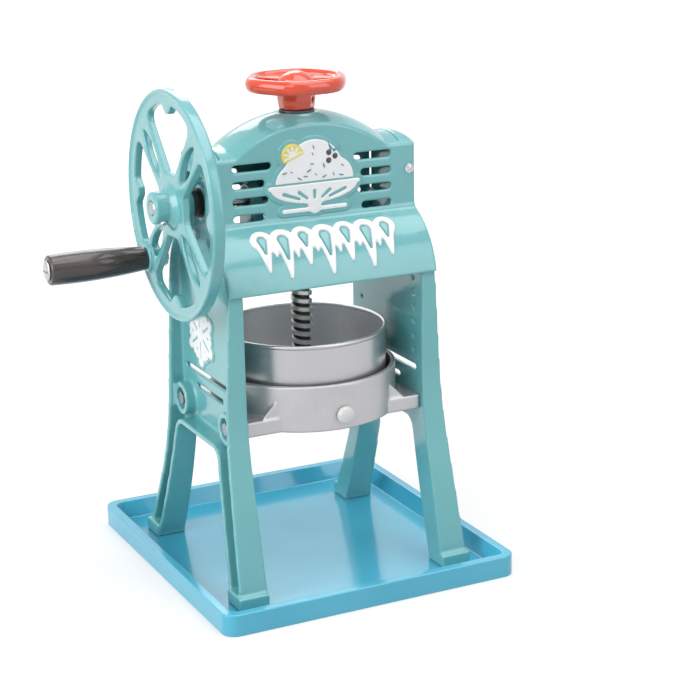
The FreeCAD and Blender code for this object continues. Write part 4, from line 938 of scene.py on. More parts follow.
@dataclass
class CrossScrews:
    """Low domed screws with a cross recess, all on one body.

    The recess is a share of the radius wide and long and of the height deep, the crown is
    the share of the height that the dome falls to its rim, and the turn is in radians.
    """

    name: str
    node: str
    body: str
    places: Sequence[tuple[Vector, Vector]]
    radius: float
    height: float
    shank: float
    length: float
    recess: tuple[float, float, float] = (0.26, 1.25, 0.8)
    crown: float = 0.62
    turn: float = 0.45

    def build(self) -> None:
        """Builds the screws and lets them stand for their node."""
        wide, long, deep = self.recess
        g = Recipe(self.name, {
            "Head Radius": self.radius, "Head Height": self.height, "Shank Radius": self.shank,
            "Shank Length": self.length, "Recess Width": self.radius * wide,
            "Recess Length": self.radius * long, "Recess Depth": self.height * deep,
        })
        radius, height = g.given("Head Radius"), g.given("Head Height")
        blank = g.add(
            "GeometryNodeMeshCylinder", {"fill_type": "TRIANGLE_FAN"},
            {"Vertices": 32, "Side Segments": 2, "Fill Segments": 6,
             "Radius": radius, "Depth": height},
        )
        x, y, z = g.axes(g.add("GeometryNodeInputPosition", {}, {}))
        spread = (x * x + y * y) / (radius * radius)
        dome = (z + height * 0.5) * (1 - spread * self.crown)
        head = g.add(
            "GeometryNodeSetPosition", {}, {"Geometry": blank, "Position": g.join(x, y, dome)}
        )
        width, length, depth = (g.given("Recess " + side) for side in ("Width", "Length", "Depth"))
        blades = []
        for size in (g.join(width, length, depth), g.join(length, width, depth)):
            blade = g.add("GeometryNodeMeshCube", {}, {"Size": size})
            blades.append(g.moved(blade, g.join(0.0, 0.0, height)))
        cut = g.add(
            "GeometryNodeMeshBoolean", {"operation": "DIFFERENCE", "solver": "EXACT"},
            {0: head, 1: blades},
        )
        shank_length = g.given("Shank Length")
        shank = g.moved(
            g.rod(g.given("Shank Radius"), shank_length), g.join(0.0, 0.0, shank_length * -0.5)
        )
        screw = g.moved(g.together(cut, shank), (0.0, 0.0, 0.0), (0.0, 0.0, self.turn))
        facing = g.add(
            "GeometryNodeInputNamedAttribute", {"data_type": "FLOAT_VECTOR"}, {"Name": "axis"}
        )
        stand = g.add("FunctionNodeAlignRotationToVector", {"axis": "Z"}, {"Vector": facing})
        stood = g.add(
            "GeometryNodeInstanceOnPoints", {},
            {"Points": g.given("Geometry"), "Instance": screw, "Rotation": stand},
        )
        thing = g.make(self.name, stood, ZINC, marks(self.name, self.places))
        settle(thing, self.body, None, [self.node])


@dataclass
class Spindle(SubAssembly):
    """Handwheel, feed screw with its coarse thread, and press plate with its points."""

    body: ClassVar[str] = "spindle"
    points_turn: float = 15.0
    low: float = 124.5 * MM
    thread_low: float = 147.0 * MM
    thread_high: float = 321.0 * MM
    high: float = 343.0 * MM
    radius: float = 7.5 * MM
    core: float = 5.7 * MM
    pitch: float = 6.0 * MM
    root: float = 4.6 * MM
    crest: float = 3.0 * MM
    chamfer: float = 0.25 * MM
    swell: float = 0.15 * MM
    bury: float = 0.4 * MM
    plate: float = 128.5 * MM
    wheel_grain: float = 0.6 * MM
    plate_rounding: float = 0.5 * MM
    nut_rounding: float = 0.35 * MM

    def screw(self) -> None:
        """The feed screw: a core, a helical ridge and plain ends."""
        g = Recipe("feed_thread", {
            "Radius": self.radius, "Core": self.core, "Pitch": self.pitch,
            "Low": self.thread_low, "High": self.thread_high, "End Low": self.low,
            "End High": self.high,
        })
        low, high, core = g.given("Low"), g.given("High"), g.given("Core")
        length = high - low
        helix = g.add(
            "GeometryNodeCurveSpiral", {},
            {"Resolution": 40, "Rotations": length / g.given("Pitch"), "Start Radius": core,
             "End Radius": core, "Height": length},
        )
        upright = g.add("GeometryNodeSetCurveNormal", {"mode": "Z_UP"}, {"Curve": helix})
        tooth = g.add("GeometryNodeMeshToCurve", {}, {"Mesh": g.given("Geometry")})
        ridge = g.add(
            "GeometryNodeCurveToMesh", {},
            {"Curve": upright, "Profile Curve": tooth, "Fill Caps": True},
        )
        ridge = g.moved(ridge, g.join(0.0, 0.0, low))
        parts = [ridge]
        ends = ((core, g.given("End Low"), high), (g.given("Radius"), high, g.given("End High")))
        for radius, start, stop in ends:
            rod = g.rod(radius, stop - start, 48)
            parts.append(g.moved(rod, g.join(0.0, 0.0, (start + stop) * 0.5)))
        tall = self.radius - self.core
        half = self.crest / 2
        upper = [
            (tall, half - self.chamfer), (tall * 0.8, half + self.swell),
            (-self.bury, self.root / 2),
        ]
        corners = [(out, -up) for out, up in reversed(upper)] + upper
        loop = [(k, (k + 1) % len(corners)) for k in range(len(corners))]
        outline = bpy.data.meshes.new("thread_profile")
        outline.from_pydata([(-out, -up, 0) for out, up in corners], loop, [])
        thing = g.make("feed_thread", g.together(*parts), THREAD, outline)
        settle(thing, self.body, None, ["feed_screw"])

    def spikes(self) -> None:
        """Steel points on two circles under the press plate."""
        g = Recipe("plate_points", {
            "Inner Circle": 20.0 * MM, "Outer Circle": 40.0 * MM, "Foot Radius": 2.6 * MM,
            "Tip Radius": 0.3 * MM, "Length": 7.0 * MM, "Height": self.plate,
        })
        length = g.given("Length")
        cone = g.add(
            "GeometryNodeMeshCone", {},
            {"Vertices": 20, "Side Segments": 3, "Radius Top": g.given("Tip Radius"),
             "Radius Bottom": g.given("Foot Radius"), "Depth": length},
        )
        point = g.moved(cone, g.join(0.0, 0.0, length * -1.0), (math.pi, 0.0, 0.0))
        rows = []
        start = (0.0, 0.0, math.radians(self.points_turn))
        for label, count in (("Inner Circle", 4), ("Outer Circle", 8)):
            circle = g.add(
                "GeometryNodeMeshCircle", {}, {"Vertices": count, "Radius": g.given(label)}
            )
            rows.append(g.moved(circle, g.join(0.0, 0.0, g.given("Height")), start))
        stood = g.add(
            "GeometryNodeInstanceOnPoints", {}, {"Points": g.together(*rows), "Instance": point}
        )
        thing = g.make("plate_points", stood, STEEL)
        settle(thing, self.body, None, ["press_spikes"])

    def build(self) -> None:
        """Builds the spindle from its wheel down."""
        self.cast("top_wheel", "hand_wheel", RED, "red_enamel", self.wheel_grain)
        dress("hand_wheel_set_screw", BLACK)
        # The stop washer is dark so that it reads as a painted shadow line under the hub.
        dress("stop_washer", DARK_STEEL_AS_SHADE)
        self.screw()
        self.crisp("plate", "press_plate", CAST, "cast_aluminium", self.plate_rounding)
        self.crisp("end_nut", "press_plate_nut", ZINC, "zinc_steel", self.nut_rounding)
        self.spikes()


# ----------------------------------------------------------------------- raised motifs

Field = np.ndarray


def disc(u: Field, v: Field, across: float, up: float, radius: float) -> Field:
    """Depth inside a disc, in millimetres, negative outside."""
    return radius - np.hypot(u - across, v - up)


def taper(
    u: Field, v: Field, first: tuple[float, float], last: tuple[float, float],
    wide: float, narrow: float,
) -> Field:
    """Depth inside a round-ended bar that tapers from one radius to another.

    Args:
        u: Millimetres across.
        v: Millimetres up.
        first: Middle of the first end.
        last: Middle of the other end.
        wide: Radius of the first end.
        narrow: Radius of the other end.

    Returns:
        The depth in millimetres, negative outside.
    """
    across, up = last[0] - first[0], last[1] - first[1]
    along = ((u - first[0]) * across + (v - first[1]) * up) / (across * across + up * up)
    along = np.clip(along, 0, 1)
    away = np.hypot(u - first[0] - along * across, v - first[1] - along * up)
    return wide + (narrow - wide) * along - away


def merge(first: Field, second: Field, reach: float) -> Field:
    """Union of two depths with a soft fillet between them."""
    share = np.clip(0.5 + 0.5 * (first - second) / reach, 0, 1)
    return second * (1 - share) + first * share + reach * share * (1 - share)


PANEL_Y = -24.7
WEB_X = -70.5
SKIRT_Y, SKIRT_Z, SKIRT_RADIUS = -2.7, 204.0, 54.3


class Patch(Enum):
    """A face of the machine that a motif lies on, its place in millimetres."""

    PANEL = "front panel"
    SKIRT = "flared skirt"
    WEB = "outer face of the left frame"

    def place(self, u: Field, v: Field, rise: Field) -> np.ndarray:
        """Points on the face, in metres.

        Args:
            u: Millimetres across, to the right as seen from outside.
            v: Millimetres up, along the face.
            rise: Millimetres off the face.

        Returns:
            One row for each point.
        """
        if self is Patch.PANEL:
            rows = (u, PANEL_Y - rise, v)
        elif self is Patch.WEB:
            rows = (WEB_X - rise, -u, v)
        else:
            turn, reach = v / SKIRT_RADIUS, SKIRT_RADIUS + rise
            rows = (u, SKIRT_Y - reach * np.cos(turn), SKIRT_Z + reach * np.sin(turn))
        return np.stack(rows, axis=-1) * MM


@dataclass
class Relief:
    """A closed raised form on one face, its outline and crown taken from a depth field.

    Sizes are in millimetres: its height, the width of its rounded edge, the depth of its
    back under the face and the step of its grid.
    """

    name: str
    patch: Patch
    field: Callable[[Field, Field], Field]
    window: tuple[float, float, float, float]
    finish: Finish
    slot: str
    height: float
    edge: float
    nodes: Sequence[str] = ()
    step: float = 0.4
    under: float = 1.0

    def build(self) -> bpy.types.Object:
        """Builds and dresses the form.

        Returns:
            The new piece.
        """
        west, low, east, high = self.window
        u, v = np.meshgrid(np.arange(west, east, self.step), np.arange(low, high, self.step))
        depth = self.field(u, v)
        share = np.clip(depth / self.edge, 0, 1)
        rise = self.height * np.sqrt(1 - (1 - share) ** 2)
        inside = depth > 0
        # Grid points just outside are pulled onto the outline, so that it runs smoothly.
        up, across = np.gradient(depth, self.step)
        slope = np.maximum(across ** 2 + up ** 2, 0.3)
        pull = np.where(inside, 0, np.minimum(-depth, 1.5 * self.step)) / slope
        u, v = u + across * pull, v + up * pull
        cell = inside[:-1, :-1] | inside[1:, :-1] | inside[:-1, 1:] | inside[1:, 1:]
        top = self.patch.place(u, v, rise).reshape(-1, 3)
        back = self.patch.place(u, v, np.full_like(rise, -self.under)).reshape(-1, 3)
        count, wide = len(top), u.shape[1]
        faces = []
        rows, columns = np.nonzero(cell)
        padded = np.pad(cell, 1)
        for row, column in zip(rows.tolist(), columns.tolist()):
            a = row * wide + column
            ring = (a, a + 1, a + wide + 1, a + wide)
            faces.append(ring)
            faces.append(tuple(count + k for k in reversed(ring)))
            for side, (down, right) in enumerate(((-1, 0), (0, 1), (1, 0), (0, -1))):
                if not padded[row + 1 + down, column + 1 + right]:
                    first, last = ring[side], ring[(side + 1) % 4]
                    faces.append((last, first, count + first, count + last))
        used = sorted({k for face in faces for k in face})
        spot = {k: place for place, k in enumerate(used)}
        points = np.concatenate((top, back))[used]
        mesh = bpy.data.meshes.new(self.name)
        mesh.from_pydata(points.tolist(), [], [[spot[k] for k in face] for face in faces])
        depths = mesh.attributes.new("depth", "FLOAT", "POINT")
        flat = np.concatenate((depth.ravel(), np.full(count, -1.0)))[used]
        depths.data.foreach_set("value", flat.astype(np.float32))
        smooth(mesh, 50)
        return settle(add_object(self.name, mesh), "machine", self.finish, self.nodes)


@dataclass
class Emblem:
    """A footed dish heaped with shaved ice, with a raised rim of the cover's own colour."""

    rim: float = 276.6
    half: float = 33.0
    bowl: float = 12.5
    border: float = 2.9
    fruit: tuple[float, float, float] = (-16.0, 298.0, 8.4)
    window: tuple[float, float, float, float] = (-40.0, 255.0, 40.0, 313.0)
    fleck_depth: float = 2.2
    fleck_low: float = 279.5 * MM
    # Places without flecks: across, up and their radius squared, in metres.
    bare: Sequence[tuple[float, float, float]] = (
        (-0.016, 0.298, 0.000112), (0.0135, 0.2975, 0.000086),
    )

    def heap(self, u: Field, v: Field) -> Field:
        """The ice, over the dish's rim.

        Args:
            u: Millimetres across.
            v: Millimetres up.

        Returns:
            The depth in millimetres, negative outside.
        """
        side = merge(disc(u, v, -14.5, 278.0, 14.6), disc(u, v, 15.4, 280.6, 14.2), 2.0)
        whole = merge(side, disc(u, v, 0.0, 286.2, 21.8), 2.0)
        return np.minimum(whole, v - self.rim - 2.5)

    def dish(self, u: Field, v: Field) -> Field:
        """The bowl with its lip, stem and foot.

        Args:
            u: Millimetres across.
            v: Millimetres up.

        Returns:
            The depth in millimetres, negative outside.
        """
        down = v - self.rim
        share = np.hypot(u / self.half, down / self.bowl)
        slope = np.hypot(u / self.half ** 2, down / self.bowl ** 2) + 1e-6
        bowl = np.minimum((1 - share) * share / slope, -down)
        lip = taper(u, v, (-self.half, self.rim), (self.half, self.rim), 1.7, 1.7)
        stem = taper(u, v, (0.0, 266.0), (0.0, 261.0), 5.5, 4.4)
        foot = taper(u, v, (-23.0, 260.2), (23.0, 260.2), 1.7, 1.7)
        return merge(merge(np.maximum(bowl, lip), stem, 3.0), foot, 1.5)

    def flutes(self, u: Field, v: Field) -> Field:
        """Grooves that run up the bowl.

        Args:
            u: Millimetres across.
            v: Millimetres up.

        Returns:
            The depth in millimetres, negative outside.
        """
        lines = [
            taper(u, v, (0.5 * across, 268.0), (across, 272.6 - abs(across) * 0.02), 0.7, 1.0)
            for across in (-23.0, -11.5, 0.0, 11.5, 23.0)
        ]
        return np.maximum.reduce(lines)

    def whole(self, u: Field, v: Field) -> Field:
        """Everything that the raised rim runs round."""
        return np.maximum.reduce([self.heap(u, v), self.dish(u, v), disc(u, v, *self.fruit)])

    def white(self, u: Field, v: Field) -> Field:
        """All that is white: ice, dish and a bed for the fruit's slice, less the flutes."""
        forms = [self.heap(u, v), self.dish(u, v), self.pulp(u, v) - 0.5]
        return np.minimum(np.maximum.reduce(forms), -self.flutes(u, v))

    def pulp(self, u: Field, v: Field) -> Field:
        """The half round of the fruit's slice."""
        cut = (u - self.fruit[0]) * -0.35 + (v - self.fruit[1]) * 0.94 + 2.4
        return np.minimum(disc(u, v, *self.fruit), cut)

    def slice(self, u: Field, v: Field) -> Field:
        """Half a slice of fruit that stands on the heap, with a groove between its segments.

        Args:
            u: Millimetres across.
            v: Millimetres up.

        Returns:
            The depth in millimetres, negative outside.
        """
        across, up = u - self.fruit[0], v - self.fruit[1]
        grooves = [
            taper(across, up, (0.0, 0.0), (6.4 * math.cos(way), 6.4 * math.sin(way)), 0.3, 0.45)
            for way in (math.radians(20.5 + 36.0 * step) for step in range(6))
        ]
        return np.minimum(self.pulp(u, v), -np.maximum.reduce(grooves))

    def berries(self, u: Field, v: Field) -> Field:
        """Three berries in a bunch on the heap's right side.

        Args:
            u: Millimetres across.
            v: Millimetres up.

        Returns:
            The depth in millimetres, negative outside.
        """
        return np.maximum.reduce([
            disc(u, v, 11.0, 298.0, 2.7), disc(u, v, 15.6, 295.2, 2.7), disc(u, v, 10.8, 292.6, 2.7)
        ])

    def leaves(self, u: Field, v: Field) -> Field:
        """Two leaves over the berries.

        Args:
            u: Millimetres across.
            v: Millimetres up.

        Returns:
            The depth in millimetres, negative outside.
        """
        return np.maximum(
            taper(u, v, (12.6, 300.6), (10.4, 305.0), 1.5, 0.5),
            taper(u, v, (14.8, 299.4), (19.4, 301.2), 1.5, 0.5),
        )

    def build(self) -> None:
        """Builds every part of the emblem."""
        Relief(
            "emblem_rim", Patch.PANEL, lambda u, v: self.whole(u, v) + self.border, self.window,
            TEAL, "teal_enamel", 0.9, 1.4,
        ).build()
        white = Relief(
            "emblem_dish", Patch.PANEL, self.white, self.window, WHITE, "white_enamel", 1.6, 0.8,
            ["front_emblem"],
        ).build()
        fine = {"under": 0.5, "step": 0.25}
        for name, field, finish, slot, height, edge, sizes in (
            ("emblem_slice", self.slice, YELLOW, "white_enamel", 2.0, 0.8, {"under": 0.5}),
            ("emblem_berries", self.berries, BLACK, "white_enamel", 2.3, 2.3, fine),
            ("emblem_leaves", self.leaves, DEEP, "teal_enamel", 2.1, 1.0, fine),
        ):
            Relief(
                name, Patch.PANEL, field, self.window, finish, slot, height, edge, **sizes
            ).build()
        self.flecks(white)

    def flecks(self, ground: bpy.types.Object) -> None:
        """Small teal flecks over the heap.

        Args:
            ground: The white form that they lie on.
        """
        g = Recipe("emblem_flecks", {"Length": 1.9 * MM, "Spacing": 4.4 * MM, "Seed": 7})
        depth = g.add("GeometryNodeInputNamedAttribute", {"data_type": "FLOAT"}, {"Name": "depth"})
        x, y, z = g.axes(g.add("GeometryNodeInputPosition", {}, {}))
        clear = g.math("GREATER_THAN", depth, self.fleck_depth)
        clear = clear * g.math("GREATER_THAN", z, self.fleck_low)
        for across, up, squared in self.bare:
            away = (x - across) ** 2.0 + (z - up) ** 2.0
            clear = clear * g.math("GREATER_THAN", away, squared)
        scatter = g.add(
            "GeometryNodeDistributePointsOnFaces", {"distribute_method": "POISSON"},
            {"Mesh": g.given("Geometry"), "Selection": clear,
             "Distance Min": g.given("Spacing"), "Density Max": 400000.0,
             "Seed": g.given("Seed")},
        )
        ball = g.add(
            "GeometryNodeMeshIcoSphere", {}, {"Radius": g.given("Length"), "Subdivisions": 3}
        )
        fleck = g.add(
            "GeometryNodeTransform", {}, {"Geometry": ball, "Scale": (1.0, 0.26, 0.4)}
        )
        tilt = g.add(
            "FunctionNodeRandomValue", {"data_type": "FLOAT"}, {2: -0.5, 3: 1.3, "Seed": 5}, 1
        )
        lean = g.add(
            "FunctionNodeRandomValue", {"data_type": "FLOAT"}, {2: 0.6, 3: 1.15, "Seed": 9}, 1
        )
        stood = g.add(
            "GeometryNodeInstanceOnPoints", {},
            {"Points": scatter, "Instance": fleck, "Scale": lean,
             "Rotation": g.join(math.pi / 2, tilt, 0.0)},
        )
        thing = g.make("emblem_flecks", stood, DEEP, ground.data.copy())
        settle(thing, "machine", None)


@dataclass
class Drift:
    """A band of snow with icicles on the skirt, hollowed where its drops stand."""

    lobes: Sequence[tuple[float, float, float, float]] = (
        (-46.0, 46.6, 8.2, 23.0), (-31.0, 45.4, 9.4, 17.5), (-15.6, 46.6, 8.6, 25.0),
        (0.0, 45.0, 9.8, 16.8), (15.8, 46.8, 8.4, 24.0), (31.0, 45.4, 9.4, 18.0),
        (46.0, 46.6, 8.2, 24.5),
    )
    between: Sequence[tuple[float, float]] = (
        (-38.6, 33.0), (-23.2, 31.0), (-8.0, 33.5), (8.2, 31.0), (23.6, 33.5), (38.4, 32.0),
    )

    def snow(self, u: Field, v: Field) -> Field:
        """The band without its hollows.

        Args:
            u: Millimetres across.
            v: Millimetres up.

        Returns:
            The depth in millimetres, negative outside.
        """
        whole = taper(u, v, (-46.0, 43.0), (46.0, 43.0), 5.5, 5.5)
        for across, up, radius, tip in self.lobes:
            whole = merge(whole, disc(u, v, across, up, radius), 1.2)
            icicle = taper(u, v, (across, 41.0), (across, tip + 1.2), radius * 0.62, 1.2)
            whole = merge(whole, icicle, 1.6)
        for across, tip in self.between:
            whole = merge(whole, taper(u, v, (across, 41.0), (across, tip + 1.0), 3.0, 1.0), 2.4)
        return whole

    def drops(self, u: Field, v: Field) -> Field:
        """The hollows, one drop in each lobe.

        Args:
            u: Millimetres across.
            v: Millimetres up.

        Returns:
            The depth in millimetres, negative outside.
        """
        return np.maximum.reduce([
            taper(u, v, (across, up), (across, tip + 14.0), radius * 0.42, 1.0)
            for across, up, radius, tip in self.lobes
        ])

    def build(self) -> None:
        """Builds the snow and the drops in it."""
        window = (-60.0, 12.0, 60.0, 58.0)
        Relief(
            "snow_band", Patch.SKIRT, lambda u, v: np.minimum(self.snow(u, v), -self.drops(u, v)),
            window, WHITE, "white_enamel", 1.6, 1.1, ["front_snow_drift"],
        ).build()
        Relief(
            "snow_drops", Patch.SKIRT, lambda u, v: self.drops(u, v) - 0.6, window, TEAL,
            "teal_enamel", 1.0, 0.9,
        ).build()


@dataclass
class Crystal:
    """A broad six-armed crystal on the left frame, with a raised rim round it."""

    across: float = -15.0
    up: float = 171.0
    arm: float = 19.6
    border: float = 2.0

    def solid(self, u: Field, v: Field) -> Field:
        """The crystal without its grooves.

        Args:
            u: Millimetres across.
            v: Millimetres up.

        Returns:
            The depth in millimetres, negative outside.
        """
        whole = disc(u, v, self.across, self.up, 12.0)
        for step in range(6):
            way = math.radians(30 + 60 * step)
            tip = self.at(way, self.arm)
            whole = merge(whole, taper(u, v, (self.across, self.up), tip, 6.2, 4.2), 2.0)
            root = self.at(way, 11.5)
            for turn in (-1.0, 1.0):
                out = (root[0] + 8.0 * math.cos(way + turn), root[1] + 8.0 * math.sin(way + turn))
                whole = merge(whole, taper(u, v, root, out, 3.6, 2.6), 1.2)
        return whole

    def at(self, way: float, reach: float) -> tuple[float, float]:
        """A point at a distance from the crystal's middle."""
        return (self.across + reach * math.cos(way), self.up + reach * math.sin(way))

    def grooves(self, u: Field, v: Field) -> Field:
        """A line along each arm.

        Args:
            u: Millimetres across.
            v: Millimetres up.

        Returns:
            The depth in millimetres, negative outside.
        """
        return np.maximum.reduce([
            taper(u, v, self.at(way, 6.0), self.at(way, 17.0), 0.7, 0.45)
            for way in (math.radians(30 + 60 * step) for step in range(6))
        ])

    def build(self) -> None:
        """Builds the crystal and its rim."""
        window = (-45.0, 142.0, 15.0, 200.0)
        Relief(
            "crystal_rim", Patch.WEB, lambda u, v: self.solid(u, v) + self.border, window, TEAL,
            "teal_enamel", 0.7, 1.2,
        ).build()
        Relief(
            "crystal", Patch.WEB, lambda u, v: np.minimum(self.solid(u, v), -self.grooves(u, v)),
            window, WHITE, "white_enamel", 1.2, 0.8, ["side_crystal"],
        ).build()


@dataclass
class Tray(SubAssembly):
    """The drip tray that the machine stands in."""

    body: ClassVar[str] = "tray"
    rounding: float = 0.8 * MM

    def build(self) -> None:
        """Builds and dresses the tray."""
        self.crisp("tray", "drip_tray", TRAY, "tray_plastic", self.rounding)


@dataclass
class Frames(SubAssembly):
    """The two cast side frames, and the crystal on the left one."""

    grain: float = 0.9 * MM

    def build(self) -> None:
        """Builds and dresses the frames."""
        for side in ("left", "right"):
            self.cast("frame_" + side, "side_frame_" + side, TEAL, "teal_enamel", self.grain)
        Crystal().build()


@dataclass
class Head(SubAssembly):
    """The cover with its screws and motifs, and the bridge that bears the large gear."""

    grain: float = 0.8 * MM
    screw_head: float = 2.0 * MM

    def build(self) -> None:
        """Builds and dresses the cover, the bridge and what they hold."""
        self.cast("cover", "front_cover", TEAL, "teal_enamel", self.grain)
        self.cast("bridge", "gear_bridge", TEAL, "teal_enamel", self.grain)
        places = seats("cover_screws", Vector((0, -1, 0)), self.screw_head)
        CrossScrews(
            "panel_screws", "cover_screws", self.body, places, radius=3.4 * MM,
            height=self.screw_head, shank=1.9 * MM, length=7.0 * MM,
        ).build()
        Emblem().build()
        Drift().build()
        dress("bridge_bolts", ZINC)
        # The bushes' dark bronze is partly painted shade in their bores.
        for node in ("gear_bush", "thrust_washer", "crank_bush_outer", "crank_bush_inner"):
            dress(node, BRONZE)


@dataclass
class Drum(SubAssembly):
    """The ring with its bolts, and the ice drum, the blade and the blade's clamp in it."""

    grain: float = 0.7 * MM
    bolt_rounding: float = 0.35 * MM
    bar_rounding: float = 0.3 * MM
    screw_head: float = 2.0 * MM

    def build(self) -> None:
        """Builds and dresses the ring and what it carries."""
        self.cast("ring", "blade_ring", CAST, "cast_aluminium", self.grain)
        self.crisp("ring_bolts", "flange_bolts", DULL, "zinc_steel", self.bolt_rounding)
        self.crisp("blade_bar", "blade_clamp", CAST, "zinc_steel", self.bar_rounding)
        places = seats("blade_screws", Vector((0, 0, -1)), self.screw_head)
        CrossScrews(
            "clamp_screws", "blade_screws", self.body, places, radius=3.8 * MM,
            height=self.screw_head, shank=2.0 * MM, length=8.0 * MM,
        ).build()
        dress("ice_drum", SPUN)
        dress("blade", STEEL)


@dataclass
class Knob(SubAssembly):
    """The knob at the ring's front, with its stud."""

    body: ClassVar[str] = "blade_knob"
    grain: float = 0.4 * MM

    def build(self) -> None:
        """Builds and dresses the knob."""
        self.cast("knob", "clamp_knob", KNOB, "knob_plastic", self.grain)
        dress("clamp_knob_stud", ZINC)


@dataclass
class Crank(SubAssembly):
    """The crank wheel on its shaft, the pinion and the bolt that the grip turns on."""

    body: ClassVar[str] = "crank"
    grain: float = 0.8 * MM
    nut_rounding: float = 0.3 * MM
    bolt_rounding: float = 0.25 * MM
    hub_middle: Place = (-102.0, 0.0, 267.6)
    hub_screw_reach: float = 10.5
    hub_screw_angle: float = 115.0

    def hub_screw(self) -> None:
        """The screw that holds the hub on its shaft."""
        way = math.radians(self.hub_screw_angle)
        out = Vector((0, math.cos(way), -math.sin(way)))
        place = Vector(self.hub_middle) * MM + out * self.hub_screw_reach * MM
        CrossScrews(
            "hub_screw", "hub_set_screw", self.body, [(place, out)], radius=3.0 * MM,
            height=2.2 * MM, shank=2.0 * MM, length=5.0 * MM,
        ).build()

    def build(self) -> None:
        """Builds and dresses the wheel and all that turns with it."""
        self.cast("big_wheel", "crank_wheel", TEAL, "teal_enamel", self.grain)
        self.crisp("cap_nut", "handle_nut", ZINC, "zinc_steel", self.nut_rounding)
        self.crisp("cap_bolt", "handle_bolt", ZINC, "zinc_steel", self.bolt_rounding)
        self.hub_screw()
        # The spacer is dark steel so that it reads as painted shade in the shaft's bore.
        for node, finish in (
            ("crank_shaft", SHAFT), ("shaft_spacer", DARK_STEEL_AS_SHADE), ("bevel_pinion", GEAR),
            ("pinion_pin", SHAFT),
        ):
            dress(node, finish)


@dataclass
class Grip(SubAssembly):
    """The turned wooden grip."""

    body: ClassVar[str] = "grip"

    def build(self) -> None:
        """Dresses the grip."""
        dress("handle_grip", WOOD)


@dataclass
class Drive(SubAssembly):
    """The large gear, with the collar that keeps it in the bridge."""

    body: ClassVar[str] = "drive_gear"

    def build(self) -> None:
        """Dresses the gear and its collar."""
        dress("bevel_gear", GEAR)
        dress("gear_retainer", GEAR)


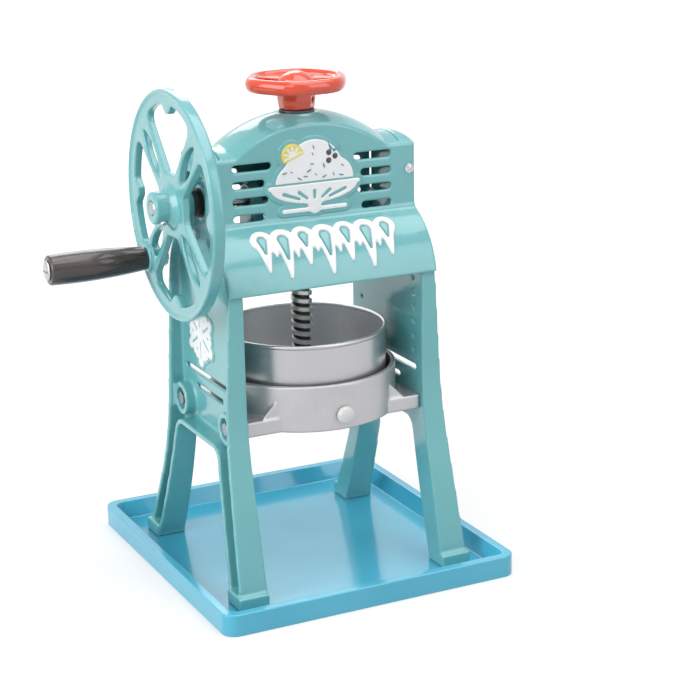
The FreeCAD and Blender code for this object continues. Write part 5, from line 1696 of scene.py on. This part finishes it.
@dataclass
class Studio:
    """Floor, world, lamps and camera.

    Places are in metres and turns in degrees. The floor glows from near to far between the
    two distances of its fade. A lamp has a name, a place, a width, a height and its watts.
    """

    camera_place: Place = (-0.5350, -1.1542, 0.5298)
    azimuth: float = -26.38
    elevation: float = 16.52
    roll: float = -0.99
    lens: float = 96.3
    ambient: float = 0.5
    floor_half: float = 8.0
    near: float = 0.42
    far: float = 0.76
    fade: tuple[float, float] = (0.3, 2.2)
    aim: Place = (0.0, 0.0, 0.17)
    lamps: Sequence[tuple[str, Place, float, float, float]] = (
        ("key", (-1.25, -1.4, 1.75), 1.0, 1.0, 8.5),
        ("side", (-2.0, -0.3, 0.9), 1.5, 1.5, 30.0),
        ("strip", (1.0, -1.75, 1.05), 0.7, 1.5, 7.0),
        ("top", (0.4, -0.3, 2.1), 1.6, 1.6, 22.0),
        ("rear", (0.5, 1.7, 1.4), 1.0, 1.0, 9.0),
    )

    def rays(self, g: Nodes) -> Value:
        """A mask of camera, glossy and transmission rays.

        Args:
            g: The graph that gets the nodes.

        Returns:
            The mask, 1 for those rays.
        """
        mask = g.add("ShaderNodeLightPath", {}, {}, "Is Camera Ray")
        outputs = mask.socket.node.outputs
        for name in ("Is Glossy Ray", "Is Transmission Ray"):
            mask = g.math("MAXIMUM", mask, Value(g, outputs[name]))
        return mask

    def world(self) -> None:
        """A white world to the eye, a softer one to the surfaces."""
        world = bpy.data.worlds.new("studio")
        bpy.context.scene.world = world
        world.use_nodes = True
        g = Nodes(world.node_tree)
        g.tree.nodes.clear()
        soft, white = (
            g.add("ShaderNodeBackground", {}, {"Color": (1, 1, 1), "Strength": strength})
            for strength in (self.ambient, 1.0)
        )
        mix = g.add("ShaderNodeMixShader", {}, {0: self.rays(g), 1: soft, 2: white})
        g.feed(g.tree.nodes.new("ShaderNodeOutputWorld").inputs["Surface"], mix)

    def floor(self) -> None:
        """A plain pale floor that keeps the machine's shadow."""
        half = self.floor_half
        mesh = bpy.data.meshes.new("floor")
        corners = [(-half, -half, 0), (half, -half, 0), (half, half, 0), (-half, half, 0)]
        mesh.from_pydata(corners, [], [(0, 1, 2, 3)])
        floor = add_object("floor", mesh)
        g = Graph("floor")
        x, y, z = g.axes(g.position())
        away = ((x * x + y * y) ** 0.5).step(*self.fade)
        glow = g.blend(away, (self.near,) * 3, (self.far,) * 3)
        mesh.materials.append(g.finish(
            Base_Color=(0.5, 0.5, 0.5), Roughness=0.9,
            Emission_Color=g.blend(self.rays(g), (0.0, 0.0, 0.0), glow), Emission_Strength=1.0,
        ))

    def lamp(self, name: str, place: Place, wide: float, high: float, power: float) -> None:
        """A soft lamp that faces the machine's middle.

        Args:
            name: The lamp's name.
            place: Where it hangs, in metres.
            wide: Its width in metres.
            high: Its height in metres.
            power: Its power in watts.
        """
        data = bpy.data.lights.new(name, "AREA")
        data.shape = "RECTANGLE"
        data.size, data.size_y = wide, high
        data.energy = power
        lamp = bpy.data.objects.new(name, data)
        bpy.context.scene.collection.objects.link(lamp)
        lamp.location = place
        lamp.rotation_mode = "QUATERNION"
        lamp.rotation_quaternion = (Vector(self.aim) - Vector(place)).to_track_quat("-Z", "Y")

    def camera(self) -> None:
        """The camera."""
        data = bpy.data.cameras.new("camera")
        data.sensor_width = 36.0
        data.lens = self.lens
        data.clip_start, data.clip_end = 0.05, 40
        camera = bpy.data.objects.new("camera", data)
        bpy.context.scene.collection.objects.link(camera)
        turn, tilt, roll = (math.radians(a) for a in (self.azimuth, self.elevation, self.roll))
        back = Vector((
            math.sin(turn) * math.cos(tilt), -math.cos(turn) * math.cos(tilt), math.sin(tilt)
        ))
        right = Vector((math.cos(turn), math.sin(turn), 0))
        up = back.cross(right)
        across = right * math.cos(roll) + up * math.sin(roll)
        rise = up * math.cos(roll) - right * math.sin(roll)
        axes = Matrix((across, rise, back)).transposed()
        camera.matrix_world = Matrix.Translation(self.camera_place) @ axes.to_4x4()
        bpy.context.scene.camera = camera

    def build(self) -> None:
        """Sets up the whole studio."""
        bpy.context.scene.view_settings.view_transform = "Standard"
        self.world()
        self.floor()
        for lamp in self.lamps:
            self.lamp(*lamp)
        self.camera()


def main() -> None:
    """Builds the studio and the machine."""
    Studio().build()
    for part in (Tray(), Frames(), Head(), Drum(), Knob(), Crank(), Grip(), Drive(), Spindle()):
        LOG.info("%s, on %s", type(part).__name__, part.body)
        part.build()


if __name__ == "__main__":
    logging.basicConfig(level=logging.INFO, format="%(message)s")
    main()
